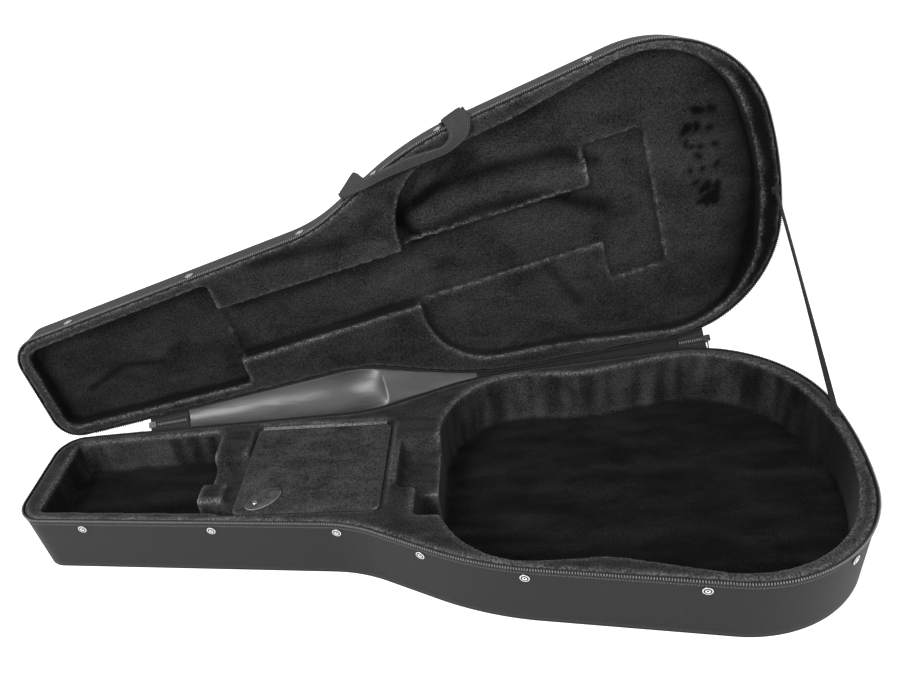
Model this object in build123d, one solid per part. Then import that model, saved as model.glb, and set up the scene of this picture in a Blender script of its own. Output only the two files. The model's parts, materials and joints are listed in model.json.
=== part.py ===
"""Foam acoustic guitar case, standing open.

The base lies on its flat underside with its rim at the top. The lid is hinged along the
back and leans back on its stay tape. +X runs from the headstock end to the tail, +Y is
the hinge side and +Z is up. The origin is the centre of the underside. Sizes are in mm.
"""
import os
from functools import lru_cache
from math import acos, atan2, cos, hypot, radians, sin, sqrt, tan

from build123d import *

# Outline of the case at its rim, seen from above
case_length = 1100.0
head_half_width = 84.0
head_corner_radius = 39.0
neck_bend_from_tail = 626.0
neck_bend_half_width = 111.0
neck_bend_radius = 200.0
shoulder_from_tail = 464.0
shoulder_half_width = 183.5
shoulder_radius = 440.0
bout_side_angle = 6.6
bout_radius = 164.0
tail_radius = 537.0

# Heights and walls
base_height = 100.0
lid_height = 50.0
rim_gap = 1.6
wall_draft_angle = 3.0
panel_bevel = 4.5
cover_thickness = 1.3
plush_thickness = 2.0

# Hinge of the lid
lid_open_angle = 95.0
hinge_offset = 0.5
hinge_strip_depth = 10.0
hinge_strip_thickness = 0.8
gusset_from_tail = (903.0, 470.0)
gusset_thickness = 0.6
gusset_bulge = 0.18
flex_strip_from_tail = (469.0, 172.0)
flex_strip_bulge = 0.1
cloth_depth = 4.0
cloth_gap = 0.3

# Bays of the base, measured from the tail along the case
bay_rim_width = 17.5
head_rim_width = 31.0
tail_rim_width = 15.0
body_bay_length = 505.0
floor_foam = 14.0
head_floor_depth = 56.0
rest_length = 52.0
rest_slot_width = 48.0
rest_slot_depth = 27.0
rest_shoulder = 12.0
rest_post_length = 38.0
rest_post_front = 64.0
rest_step_depth = 10.0
box_length = 205.0
box_width = 177.0
box_ledge = 10.0
heel_length = 68.0
heel_slot_length = 54.0
heel_slot_width = 88.0
heel_slot_depth = 23.0
heel_shoulder = 14.0
heel_pocket_length = 27.0
heel_pocket_half_width = 98.0

# Guitar body bay, half profile: shoulder, waist and lower bout
bay_shoulder_half_width = 183.0
bay_shoulder_radius = 119.0
bay_waist_from_start = 205.0
bay_waist_half_width = 171.5
bay_waist_radius = 120.0
bay_side_angle = 12.8
bay_bout_radius = 145.0
bay_tail_radius = 293.0

# Recesses of the lid
lid_rim_width = 17.5
lid_head_rim_width = 18.0
lid_head_depth = 28.0
lid_head_end_from_tail = 794.0
lid_bay_depth = 24.0
lid_bay_length = 489.0
lid_tail_rim_width = 28.0
lid_channel_depth = 34.0
lid_channel_width = 86.0
bridge_recess_from_tail = (164.0, 244.0)
bridge_recess_width = 203.0
lid_shoulder_half_width = 150.0
lid_shoulder_radius = 100.0
lid_waist_from_start = 185.0
lid_waist_half_width = 172.0
lid_waist_radius = 150.0
lid_side_angle = 11.6
lid_bout_radius = 130.0
lid_tail_radius = 422.0

# Accessory box lid
flap_clearance = 1.5
flap_thickness = 5.0
flap_plush = 1.5
flap_below_rim = 3.0
flap_hinge_gap = 2.0
flap_tape_thickness = 0.8
flap_tape_height = 6.5
flap_corner_radius = 8.0
seat_gap = 0.3
tab_length = 52.0
tab_width = 25.0
tab_thickness = 1.8
tab_angle = 42.0
tab_rivet_from_box = (34.0, 20.0)
tab_rivet_end = 14.0
tab_rivet_radius = 3.6
tab_rivet_head = 1.2
tab_rivet_shank = 1.5
tab_lift = 0.3
pin_clearance = 0.15

# Zipper
tape_top = 3.2
tape_bottom = 9.0
tape_thickness = 0.9
coil_top = 0.2
coil_height = 2.8
coil_thickness = 2.4
coil_break_from_tail = (1082.0, 1050.0)
left_stub_from_tail = (962.0, 904.0)
right_stub_from_tail = (134.0, 171.0)
stub_thickness = 1.0
stub_coil_width = 6.0
stub_coil_thickness = 2.2
stub_bulge = 0.05

# Sliders of the zipper and their pulls
slider_length = 11.0
slider_width = 9.4
slider_plate = 1.2
slider_gap = 3.0
slider_flange = 0.55
slider_side_gap = 0.2
slider_diamond = 1.3
slider_in_stub = 1.0
left_slider_travel = 34.0
right_slider_travel = 20.0
bridge_height = 2.6
bridge_leg = 1.6
bridge_width = 2.2
bridge_inset = 0.6
bridge_bar_radius = 0.8
pull_length = 26.0
pull_width = 6.0
pull_thickness = 1.2
pull_eye_wall = 0.6
pull_eye_width = 4.0
pull_hole_gap = 0.2
pull_neck = 3.0
pull_corner_radius = 2.0
pull_slot_length = 12.0
pull_slot_width = 2.6

# Rivets on the walls, measured from the tail
rivet_depth = 17.5
rivet_radius = 6.0
rivet_sides = 10
rivet_head = 1.6
rivet_shank_radius = 2.0
rivet_shank_sides = 6
rivet_shank_length = 7.0
rivet_dimple_radius = 1.6
rivet_dimple_depth = 0.8
rivet_seat = 0.12
base_rivets_from_tail = (1001.0, 814.0, 645.0, 536.0, 413.0, 219.0, 57.0)
lid_rivets_from_tail = (1008.0, 814.0, 645.0, 524.0, 423.0, 216.0, 57.0)

# Piping along the edges of the two panels
piping_radius = 2.0
piping_sides = 8

# Carrying handle on the lid
handle_from_tail = (558.0, 396.0)
handle_patch_length = 38.0
handle_patch_bottom = 44.0
handle_patch_thickness = 1.2
handle_end_slack = 2.4
handle_pivot_depth = 14.0
handle_loop_radius = 4.4
handle_web_width = 30.0
handle_web_thickness = 2.2
handle_stand_off = 28.0
handle_bend_radius = 8.0
handle_leg_drop = 9.0
handle_drop = 18.0
handle_rest_swing = 95.0
handle_grip_length = 92.0
handle_grip_width = 26.0
handle_grip_thickness = 9.0
handle_grip_rounding = 3.5

# Stay tape at the tail
stay_width = 9.0
stay_thickness = 1.5
stay_base_y = 50.0
stay_lid_y = 34.0
stay_from_edge = 8.0
stay_anchor_length = 12.0
stay_anchor_width = 11.0
stay_anchor_thickness = 0.6
stay_end_gap = 1.2

# Derived places
head_x = -case_length / 2
tail_x = case_length / 2
lid_rim_z = base_height + rim_gap
hinge_z = base_height + rim_gap / 2
far = 2 * case_length


def from_tail(distance):
    """X of a point that is this far from the tail."""
    return tail_x - distance


def corner_centre(before, corner, after, radius):
    """Centre of the arc that rounds a corner between two straight sides."""
    a = Vector(before[0] - corner[0], before[1] - corner[1]).normalized()
    b = Vector(after[0] - corner[0], after[1] - corner[1]).normalized()
    half = acos(a.dot(b)) / 2
    centre = Vector(*corner) + (a + b).normalized() * (radius / sin(half))
    return (centre.X, centre.Y)


def meet_tail(start, angle, radius, tail):
    """Point where a straight side meets the round tail of the given radius."""
    centre = tail - radius
    dx, dy = cos(radians(angle)), sin(radians(angle))
    wx, wy = start[0] - centre, start[1]
    along = wx * dx + wy * dy
    reach = sqrt(along * along - wx * wx - wy * wy + radius * radius) - along
    return (start[0] + reach * dx, start[1] + reach * dy)


def rounded_profile(half_points, radii, tail):
    """Symmetric face from its +Y corners, with a straight start and a round tail."""
    lower = [(x, -y) for x, y in half_points]
    edges = [Line(lower[0], half_points[0])]
    edges += [Line(a, b) for a, b in zip(half_points, half_points[1:])]
    edges.append(ThreePointArc(half_points[-1], (tail, 0), lower[-1]))
    edges += [Line(a, b) for a, b in zip(lower[::-1], lower[::-1][1:])]
    face = Sketch() + make_face(Wire(edges))
    for upper_point, lower_point, radius in zip(half_points, lower, radii):
        corners = [
            face.vertices().sort_by_distance((x, y, 0))[0]
            for x, y in (upper_point, lower_point)
        ]
        face = fillet(corners, radius)
    return face


head_corner = (head_x, head_half_width)
neck_bend = (from_tail(neck_bend_from_tail), neck_bend_half_width)
shoulder = (from_tail(shoulder_from_tail), shoulder_half_width)
bout_corner = meet_tail(shoulder, bout_side_angle, tail_radius, tail_x)


@lru_cache(maxsize=None)
def case_outline(out=0.0):
    """Outline of the rim, grown outwards by out, or shrunk where it is negative."""
    if out:
        return offset(case_outline(), amount=out)
    return rounded_profile(
        [head_corner, neck_bend, shoulder, bout_corner],
        [head_corner_radius, neck_bend_radius, shoulder_radius, bout_radius],
        tail_x,
    )


def guitar_bay(start, tail, corner, corner_radius, waist_at, waist, waist_radius, angle,
               bout, round_tail):
    """Profile of a hollow for the guitar's body, from its shoulder to its tail."""
    waist_point = (start + waist_at, waist)
    side_end = meet_tail(waist_point, angle, round_tail, tail)
    return rounded_profile(
        [(start, corner), waist_point, side_end],
        [corner_radius, waist_radius, bout],
        tail,
    )


class Half:
    """One half of the case. Depths are measured from its rim towards its panel."""

    def __init__(self, rim_z, direction, height):
        self.rim_z = rim_z
        self.direction = direction
        self.height = height

    def z(self, depth):
        return self.rim_z + self.direction * depth

    def placed(self, shape):
        """A closed shape where this half really stands."""
        return opened(shape) if self.direction > 0 else shape

    def wall_inset(self, depth):
        """How far the drafted wall has drawn in at a depth."""
        return max(depth, 0.0) * tan(radians(wall_draft_angle))

    def prism(self, face, depth0, depth1):
        """Straight block of a face between two depths."""
        low = min(self.z(depth0), self.z(depth1))
        return Pos(0, 0, low) * extrude(face, abs(depth1 - depth0), dir=(0, 0, 1))

    def slab(self, out, depth0, depth1, extra0=0.0, extra1=0.0):
        """Block inside the drafted wall, out mm beyond its face."""
        ends = []
        for depth, extra in ((depth0, extra0), (depth1, extra1)):
            grow = round(out - self.wall_inset(depth) - extra, 4)
            ends.append((self.z(depth), grow))
        ends.sort()
        return loft([Pos(0, 0, z) * case_outline(grow) for z, grow in ends], ruled=True)

    def core(self, out=0.0, panel=0.0, start=0.0):
        """The half as a block, from a depth down to its bevelled panel."""
        bevel_depth = self.height - panel_bevel
        wall = self.slab(out, start, bevel_depth)
        end = self.slab(out, bevel_depth, self.height - panel, 0.0, panel_bevel - panel)
        return wall + end

    def band(self, out0, out1, depth0, depth1):
        """Ring on the wall between two distances from its face."""
        return self.slab(out1, depth0, depth1) - self.slab(out0, depth0, depth1)


base = Half(base_height, -1, base_height)
lid = Half(lid_rim_z, 1, lid_height)


def region(x0=-far, x1=far, y0=-far, y1=far, z0=-far, z1=far):
    """Box between the given planes."""
    centre = ((x0 + x1) / 2, (y0 + y1) / 2, (z0 + z1) / 2)
    return Pos(*centre) * Box(x1 - x0, y1 - y0, z1 - z0)


def rectangle(x0, x1, y0, y1):
    """Flat rectangle between two stations and two sides."""
    return Pos((x0 + x1) / 2, (y0 + y1) / 2) * Rectangle(x1 - x0, y1 - y0)


def save(node, *shapes):
    """Writes one node, from one shape or from several separate solids."""
    solids = [solid for shape in shapes for solid in shape.solids()]
    export_step(solids[0] if len(solids) == 1 else Compound(children=solids),
                f"parts/{node}.step")


# Hinge axis: the line that rests on the head corner and on the shoulder
head_circle = corner_centre(
    (head_x, -head_half_width), head_corner, neck_bend, head_corner_radius
)
shoulder_circle = corner_centre(neck_bend, shoulder, bout_corner, shoulder_radius)
circle_step = (shoulder_circle[0] - head_circle[0], shoulder_circle[1] - head_circle[1])
normal_angle = atan2(circle_step[1], circle_step[0]) + acos(
    (head_corner_radius - shoulder_radius) / hypot(*circle_step)
)
hinge_normal = Vector(cos(normal_angle), sin(normal_angle), 0)
hinge_direction = Vector(hinge_normal.Y, -hinge_normal.X, 0)
hinge_point = (
    Vector(head_circle[0], head_circle[1], hinge_z)
    + hinge_normal * (head_corner_radius + hinge_offset)
)
hinge_axis = Axis(hinge_point, hinge_direction)


def opened(shape):
    """Turns a piece of the closed lid back to where the open lid stands."""
    return shape.rotate(hinge_axis, -lid_open_angle)


def by_hinge(station, out, up):
    """Point at a station along the hinge, out beyond its axis and up from it."""
    point = hinge_point + hinge_direction * station + hinge_normal * out
    return point + Vector(0, 0, up)


def hinge_station(x):
    """Station along the hinge that lies level with a point of the wall at x."""
    return (x - hinge_point.X) / hinge_direction.X


rim_samples = [case_outline().wire() @ (i / 2000) for i in range(2000)]
rim_by_hinge = sorted(
    ((p - hinge_point).dot(hinge_direction), -(p - hinge_point).dot(hinge_normal))
    for p in rim_samples
    if p.Y > 0
)


def rim_gap_at(station):
    """Distance from the hinge axis to the rim, level with a station."""
    for (s0, d0), (s1, d1) in zip(rim_by_hinge, rim_by_hinge[1:]):
        if s0 <= station <= s1:
            return d0 + (d1 - d0) * (station - s0) / max(s1 - s0, 1e-9)
    return rim_by_hinge[-1][1]


# Stations along the base
bay_start = from_tail(tail_rim_width + body_bay_length)
bay_end = from_tail(tail_rim_width)
box_end = bay_start - heel_length
box_start = box_end - box_length
rest_start = box_start - rest_length
rest_post_end = rest_start + rest_post_length
head_bay_start = head_x + head_rim_width
floor_z = cover_thickness + floor_foam
floor_depth = base_height - floor_z - plush_thickness
flap_seat_depth = flap_below_rim + flap_plush + flap_thickness + seat_gap
box_half = box_width / 2

# Stations along the lid
lid_bay_start = from_tail(lid_tail_rim_width + lid_bay_length)
lid_bay_end = from_tail(lid_tail_rim_width)
lid_head_start = head_x + lid_head_rim_width
lid_head_end = from_tail(lid_head_end_from_tail)
channel_half = lid_channel_width / 2
bridge_end, bridge_start = (from_tail(d) for d in bridge_recess_from_tail)

body_bay = guitar_bay(
    bay_start, bay_end, bay_shoulder_half_width, bay_shoulder_radius,
    bay_waist_from_start, bay_waist_half_width, bay_waist_radius, bay_side_angle,
    bay_bout_radius, bay_tail_radius,
)
lid_bay = guitar_bay(
    lid_bay_start, lid_bay_end, lid_shoulder_half_width, lid_shoulder_radius,
    lid_waist_from_start, lid_waist_half_width, lid_waist_radius, lid_side_angle,
    lid_bout_radius, lid_tail_radius,
)


def grown(face, amount):
    """Face grown outwards by an amount, or as it is where that is nothing."""
    return offset(face, amount=amount) if amount else face


def slot(x0, x1, y0, y1, depth, shoulder, grow):
    """Open slot along X whose upper edges are rounded over."""
    half = (y1 - y0) / 2 + grow
    turn = shoulder - grow
    foot = -depth - grow
    profile = make_face(
        [
            Line((-half, foot), (half, foot)),
            Line((half, foot), (half, -turn)),
            RadiusArc((half, -turn), (half + turn, 0), turn),
            Line((half + turn, 0), (half + turn, far)),
            Line((half + turn, far), (-half - turn, far)),
            Line((-half - turn, far), (-half - turn, 0)),
            RadiusArc((-half - turn, 0), (-half, -turn), turn),
            Line((-half, -turn), (-half, foot)),
        ]
    )
    solid = extrude(Plane.YZ * profile, x1 - x0 + 2 * grow)
    return Pos(x0 - grow, (y0 + y1) / 2, base_height) * solid


def base_hollows(grow):
    """Everything that is open in the base, grown by the thickness of the plush."""
    side = case_outline(-bay_rim_width + grow)
    head = side & rectangle(head_bay_start - grow, rest_start + grow, -far, far)
    hollows = [base.prism(head, -far, head_floor_depth + grow)]
    hollows.append(
        slot(rest_start, box_start, -rest_slot_width / 2, rest_slot_width / 2,
             rest_slot_depth, rest_shoulder, grow)
    )
    front = -rest_post_front
    gap = side & rectangle(rest_start - grow, rest_post_end + grow, -far, front + grow)
    hollows.append(base.prism(gap, -far, head_floor_depth + grow))
    step = rectangle(rest_post_end - grow, box_start + grow, -box_half - grow, grow)
    hollows.append(base.prism(step, -far, rest_step_depth + grow))
    recess = rectangle(box_start - grow, box_end + grow, -box_half - grow, box_half + grow)
    hollows.append(base.prism(recess, -far, flap_seat_depth + grow))
    inner_half = box_half - box_ledge + grow
    inner = rectangle(box_start + box_ledge - grow, box_end - box_ledge + grow,
                      -inner_half, inner_half)
    hollows.append(base.prism(inner, -far, floor_depth + grow))
    hollows.append(
        slot(bay_start - heel_slot_length, bay_start + heel_slot_length,
             -heel_slot_width / 2, heel_slot_width / 2, heel_slot_depth, heel_shoulder,
             grow)
    )
    pocket = rectangle(bay_start - heel_pocket_length - grow, bay_start + bay_shoulder_radius,
                       -heel_pocket_half_width - grow, -heel_slot_width / 2 + grow)
    hollows.append(base.prism(pocket, -far, floor_depth + grow))
    hollows.append(base.prism(grown(body_bay, grow), -far, floor_depth + grow))
    return hollows


def lid_hollows(grow):
    """Everything that is open in the lid, grown by the thickness of the plush."""
    side = case_outline(-lid_rim_width + grow)
    head = side & rectangle(lid_head_start - grow, lid_head_end + grow, -far, far)
    channel = rectangle(lid_head_end - grow, bridge_end + grow,
                        -channel_half - grow, channel_half + grow)
    bridge_half = bridge_recess_width / 2 + grow
    bridge = rectangle(bridge_start - grow, bridge_end + grow, -bridge_half, bridge_half)
    return [
        lid.prism(head, -far, lid_head_depth + grow),
        lid.prism(channel, -far, lid_channel_depth + grow),
        lid.prism(bridge, -far, lid_channel_depth + grow),
        lid.prism(grown(lid_bay, grow), -far, lid_bay_depth + grow),
    ]


def carved(solid, hollows):
    """A block less each hollow in turn."""
    for hollow in hollows:
        solid = solid - hollow
    return solid


def rivet_places(distances):
    """Where each rivet sits on the rim outline, with the wall's outward direction."""
    places = []
    samples = [(p, case_outline().wire() % (i / 2000)) for i, p in enumerate(rim_samples)]
    for side in (-1, 1):
        wall = [pair for pair in samples if pair[0].Y * side > 0]
        for distance in distances:
            point, along = min(wall, key=lambda pair: abs(pair[0].X - from_tail(distance)))
            out = Vector(along.Y, -along.X, 0)
            out = out if out.Y * side > 0 else -out
            places.append((point, out))
    return places


def rivet_frames(half):
    """Planes on the drafted wall, one for each rivet, facing out of the wall."""
    draft = radians(wall_draft_angle)
    frames = []
    distances = base_rivets_from_tail if half is base else lid_rivets_from_tail
    for point, out in rivet_places(distances):
        if out.Y > 0 and rim_gap_at((point - hinge_point).dot(hinge_direction)) < rivet_radius * 2:
            continue
        centre = point - out * half.wall_inset(rivet_depth)
        centre = Vector(centre.X, centre.Y, half.z(rivet_depth))
        facing = out * cos(draft) + Vector(0, 0, half.direction * sin(draft))
        frames.append(Plane(origin=centre + facing * rivet_seat, z_dir=facing))
    return frames


def rivet_shank(frame):
    """Shank of a rivet, from the wall into the foam."""
    outline = RegularPolygon(rivet_shank_radius, rivet_shank_sides)
    return frame * extrude(outline, -rivet_shank_length)


def rivet(frame):
    """Rivet with a bevelled head, a dimple in its middle and a shank into the foam."""
    head = extrude(RegularPolygon(rivet_radius, rivet_sides), rivet_head)
    head = chamfer(head.edges().group_by(Axis.Z)[-1], rivet_head * 0.6)
    dimple = extrude(RegularPolygon(rivet_dimple_radius, rivet_shank_sides), -rivet_dimple_depth)
    return frame * (head - Pos(0, 0, rivet_head) * dimple) + rivet_shank(frame)


def rivet_holes(half):
    """Holes for the shanks of the rivets."""
    return [rivet_shank(frame) for frame in rivet_frames(half)]


def piping(half):
    """Round cord over the edge between the wall and the panel."""
    depth = half.height - panel_bevel / 2
    path_face = case_outline(round(-half.wall_inset(half.height - panel_bevel)
                                   - panel_bevel / 2, 4))
    path = (Pos(0, 0, half.z(depth)) * path_face).wire()
    outline = Rot(0, 0, 180 / piping_sides) * RegularPolygon(piping_radius, piping_sides)
    return sweep(Plane(origin=path @ 0, z_dir=path % 0) * outline, path=path)


os.makedirs("parts", exist_ok=True)


def shell(half, hollows, name):
    """Saves the cover, the plush, the piping and the rivets of one half."""
    holes = rivet_holes(half)
    inside = half.core(-cover_thickness, cover_thickness)
    outer_cover = half.core() - inside
    seam_depth = half.height - panel_bevel / 2
    panel = outer_cover & half.prism(Rectangle(far, far), seam_depth, far)
    wall = outer_cover & half.prism(Rectangle(far, far), -far, seam_depth)
    cord = piping(half)
    foam = carved(half.core(-cover_thickness, cover_thickness, plush_thickness),
                  hollows(plush_thickness))
    lining = carved(inside, hollows(0.0)) - foam
    save(f"{name}_outer_cover", half.placed(carved(wall, holes)))
    save(f"{name}_panel_cover", half.placed(panel))
    save(f"{name}_piping", half.placed(cord - half.core()))
    save(f"{name}_rivets", *[half.placed(rivet(frame)) for frame in rivet_frames(half)])
    save(f"{name}_plush_lining", half.placed(lining))
    return carved(foam, holes)


base_foam = shell(base, base_hollows, "base")
lid_foam = shell(lid, lid_hollows, "lid")

# Foam of the base, cut into the boards and blocks that are glued together
head_cut = head_bay_start - plush_thickness
rest_cut = rest_start + plush_thickness
box_cut = box_end - box_ledge
body_cut = bay_start - plush_thickness
waist_cut = bay_start + bay_waist_from_start
inner_half = box_half - box_ledge
base_side = case_outline(-bay_rim_width + plush_thickness)
head_face = base_side & rectangle(head_cut, rest_cut, -far, far)
boards = base_foam & region(z0=floor_z)
head_column = base.prism(head_face, -far, far)
box_column = region(x0=rest_cut, x1=box_cut, y0=-inner_half, y1=inner_half)
neck_walls = (boards & region(x0=head_cut, x1=box_cut)) - head_column - box_column
save("base_floor_foam", base_foam & region(z1=floor_z))
save("base_head_end_wall", boards & region(x1=head_cut))
save("base_head_floor_pad", boards & head_column & region(x1=rest_cut))
save("base_neck_wall_front", neck_walls & region(y1=0))
save("base_neck_wall_back", neck_walls & region(y0=0))
save("neck_rest_block",
     boards & region(x0=rest_cut, x1=box_start + box_ledge, y0=-inner_half, y1=inner_half))
save("heel_block", boards & region(x0=box_cut, x1=body_cut))
for side, y0, y1 in (("front", -far, 0), ("back", 0, far)):
    save(f"base_shoulder_wall_{side}",
         boards & region(x0=body_cut, x1=waist_cut, y0=y0, y1=y1))
    save(f"base_bout_wall_{side}", boards & region(x0=waist_cut, y0=y0, y1=y1))

# Foam of the lid, cut the same way
lid_head_cut = lid_head_start - plush_thickness
lid_step_cut = lid_head_end + plush_thickness
lid_body_cut = lid_bay_start - plush_thickness
lid_waist_cut = lid_bay_start + lid_waist_from_start
panel_depth = lid_channel_depth + plush_thickness
panel_z = lid.z(panel_depth)
lid_side = case_outline(-lid_rim_width + plush_thickness)
lid_head_face = lid_side & rectangle(lid_head_cut, lid_step_cut, -far, far)
lid_boards = lid_foam & region(z1=panel_z)
lid_head_column = lid.prism(lid_head_face, -far, far)
lid_bay_column = lid.prism(grown(lid_bay, plush_thickness), -far, far)
head_boards = lid_boards & region(x0=lid_head_cut, x1=lid_step_cut)
lid_head_walls = head_boards - lid_head_column
neck_boards = lid_boards & region(x0=lid_step_cut, x1=lid_body_cut)
body_boards = lid_boards & region(x0=lid_body_cut)
body_walls = body_boards - lid_bay_column
save("lid_panel_foam", opened(lid_foam & region(z0=panel_z)))
save("lid_head_end_wall", opened(lid_boards & region(x1=lid_head_cut)))
save("lid_head_pad", opened(head_boards & lid_head_column))
for side, y0, y1 in (("front", -far, 0), ("back", 0, far)):
    half_space = region(y0=y0, y1=y1)
    save(f"lid_head_wall_{side}", opened(lid_head_walls & half_space))
    save(f"lid_neck_filler_{side}", opened(neck_boards & half_space))
    save(f"lid_body_pad_{side}", opened(body_boards & lid_bay_column & half_space))
    save(f"lid_shoulder_wall_{side}",
         opened(body_walls & region(x1=lid_waist_cut, y0=y0, y1=y1)))
    save(f"lid_bout_wall_{side}", opened(body_walls & region(x0=lid_waist_cut, y0=y0, y1=y1)))

# Zipper along both rims, left open along the hinge
stub_left, stub_left_end = (from_tail(d) for d in left_stub_from_tail)
stub_right, stub_right_end = (from_tail(d) for d in right_stub_from_tail)
coil_break = [from_tail(d) for d in coil_break_from_tail]


def zipper_half(half):
    """Tape sewn to one wall, and the coil along its edge."""
    tape = half.band(0, tape_thickness, tape_top, tape_bottom)
    coil = half.band(0, coil_thickness, coil_top, coil_top + coil_height)
    tape = tape - region(x0=stub_left_end, x1=stub_right_end, y0=0)
    coil = coil - region(x0=stub_left - slider_length, x1=stub_right + slider_length, y0=0)
    coil = coil - region(x0=coil_break[0], x1=coil_break[1], y0=0)
    return tape, coil


def hinge_strip(half):
    """Strip of cloth on the wall along the hinge."""
    strip = half.band(0, hinge_strip_thickness, 0, hinge_strip_depth)
    return strip & region(x0=stub_left_end, x1=stub_right_end, y0=0)


base_tape, base_coil = zipper_half(base)
lid_tape, lid_coil = zipper_half(lid)
save("base_zipper_tape", base_tape)
save("base_zipper_coil", base_coil)
save("lid_zipper_tape", opened(lid_tape))
save("lid_zipper_coil", opened(lid_coil))
save("base_hinge_strip", hinge_strip(base))
save("lid_hinge_strip", opened(hinge_strip(lid)))


# Directions across the hinge gap of the open lid: out of the case, and base to lid
half_opening = radians(lid_open_angle / 2)
cloth_outward = Vector(cos(half_opening), -sin(half_opening))
cloth_across = Vector(sin(half_opening), cos(half_opening))


def cloth_ends(station, thickness):
    """Where cloth over the hinge gap starts on the base and ends on the open lid."""
    out = -rim_gap_at(station) + hinge_strip_thickness + cloth_gap + thickness / 2
    down = rim_gap / 2 + cloth_depth
    angle = radians(lid_open_angle)
    high = Vector(out * cos(angle) + down * sin(angle), -out * sin(angle) + down * cos(angle))
    return Vector(out, -down), high


def cloth_middle(station, thickness, bulge):
    """Middle of the cloth, pushed out of the case by a share of its width."""
    low, high = cloth_ends(station, thickness)
    return (low + high) / 2 + cloth_outward * (high - low).length * bulge


def cloth(from_tail_range, count, thickness, bulge):
    """Cloth over a stretch of the hinge gap."""
    station0, station1 = (hinge_station(from_tail(d)) for d in from_tail_range)
    sections = []
    for i in range(count):
        station = station0 + (station1 - station0) * i / (count - 1)
        low, high = cloth_ends(station, thickness)
        line = [low, cloth_middle(station, thickness, bulge), high]
        inner = [p - cloth_outward * thickness / 2 for p in line]
        outer = [p + cloth_outward * thickness / 2 for p in line[::-1]]
        ring = [by_hinge(station, p.X, p.Y) for p in inner + outer]
        sections.append(make_face(Polyline(*ring, close=True)))
    return loft(sections, ruled=True)


save("hinge_gusset", cloth(gusset_from_tail, 12, gusset_thickness, gusset_bulge))
save("hinge_flex_strip", cloth(flex_strip_from_tail, 9, gusset_thickness, flex_strip_bulge))


def stub_coil(from_tail_range):
    """Closed coil in the middle of a stub of the zipper."""
    sections = []
    start, end = from_tail_range
    for i in range(7):
        station = hinge_station(from_tail(start + (end - start) * i / 6))
        middle = cloth_middle(station, stub_thickness, stub_bulge)
        ring = []
        for a, b in ((-1, -1), (1, -1), (1, 1), (-1, 1)):
            p = middle + cloth_across * a * stub_coil_width / 2
            p = p + cloth_outward * b * stub_coil_thickness / 2
            ring.append(by_hinge(station, p.X, p.Y))
        sections.append(make_face(Polyline(*ring, close=True)))
    return loft(sections, ruled=True)


def slider():
    """Slider body with its mouth towards -X and its bridge towards +Z."""
    half_gap = slider_gap / 2
    channel = stub_coil_width + 2 * slider_side_gap
    nose_half = channel / 2 + slider_flange
    nose, back, shoulder_x = slider_length / 2, -slider_length / 2, -slider_length / 6
    face = make_face(
        Polyline(
            (nose, -nose_half), (nose, nose_half),
            (shoulder_x, slider_width / 2), (back, slider_width / 2 - slider_flange),
            (back, slider_flange - slider_width / 2), (shoulder_x, -slider_width / 2),
            close=True,
        )
    )
    plate = extrude(face, slider_plate, dir=(0, 0, 1))
    flange = extrude(face, slider_flange, dir=(0, 0, 1)) - Box(far, channel, far)
    diamond = extrude(
        make_face(Polyline((back, -slider_diamond), (back, slider_diamond),
                           (shoulder_x, 0), close=True)),
        slider_gap, dir=(0, 0, 1),
    )
    top = half_gap + slider_plate
    body = Pos(0, 0, half_gap) * plate + Pos(0, 0, -top) * plate
    body += Pos(0, 0, half_gap - slider_flange) * flange + Pos(0, 0, -half_gap) * flange
    body += Pos(0, 0, -half_gap) * diamond
    leg_x = nose - bridge_leg / 2 - bridge_inset
    for x in (-leg_x, leg_x):
        body += Pos(x, 0, top + bridge_height / 2) * Box(bridge_leg, bridge_width, bridge_height)
    bar = Rot(0, 90, 0) * Cylinder(bridge_bar_radius, 2 * leg_x)
    return body + Pos(0, 0, slider_bar_height) * bar


def pull():
    """Pull tag that hangs towards -Z from its eye at the origin."""
    eye_radius = bridge_bar_radius + pull_hole_gap + pull_eye_wall
    eye = Rot(0, 90, 0) * Cylinder(eye_radius, pull_eye_width)
    neck = Pos(0, 0, -pull_neck / 2) * Box(pull_eye_width, pull_thickness, pull_neck)
    tag_length = pull_length - pull_neck
    tag = Box(pull_width, pull_thickness, tag_length)
    tag = fillet(tag.edges().filter_by(Axis.Y), pull_corner_radius)
    window = Box(pull_slot_width, far, pull_slot_length)
    tag = Pos(0, 0, -pull_neck - tag_length / 2 + pull_corner_radius) * (tag - window)
    hole = Rot(0, 90, 0) * Cylinder(bridge_bar_radius + pull_hole_gap, far)
    return eye + neck + tag - hole


slider_bar_height = slider_gap / 2 + slider_plate + bridge_height - bridge_bar_radius
slider_bars = {}
for name, stub, towards, travel in (
    ("left", left_stub_from_tail, 1, left_slider_travel),
    ("right", right_stub_from_tail, -1, right_slider_travel),
):
    tapes = cloth(stub, 7, stub_thickness, stub_bulge)
    save(f"{name}_zip_stub", tapes + stub_coil(stub))
    ends = []
    for moved in (slider_in_stub, slider_in_stub + travel):
        station = hinge_station(from_tail(stub[0] - towards * moved))
        middle = cloth_middle(station, stub_thickness, stub_bulge)
        ends.append(by_hinge(station, middle.X, middle.Y))
    along = (ends[1] - ends[0]).normalized()
    across = (hinge_normal * cloth_across.X + Vector(0, 0, cloth_across.Y)) * -towards
    frame = Plane(origin=ends[0], x_dir=along, z_dir=along.cross(across))
    save(f"{name}_slider", frame * slider())
    bar = frame.origin + frame.z_dir * slider_bar_height
    up = (Vector(0, 0, 1) - along * along.Z).normalized()
    save(f"{name}_slider_pull", Plane(origin=bar, x_dir=along, z_dir=up) * pull())
    slider_bars[name] = (bar, along, (ends[1] - ends[0]).length)

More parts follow.
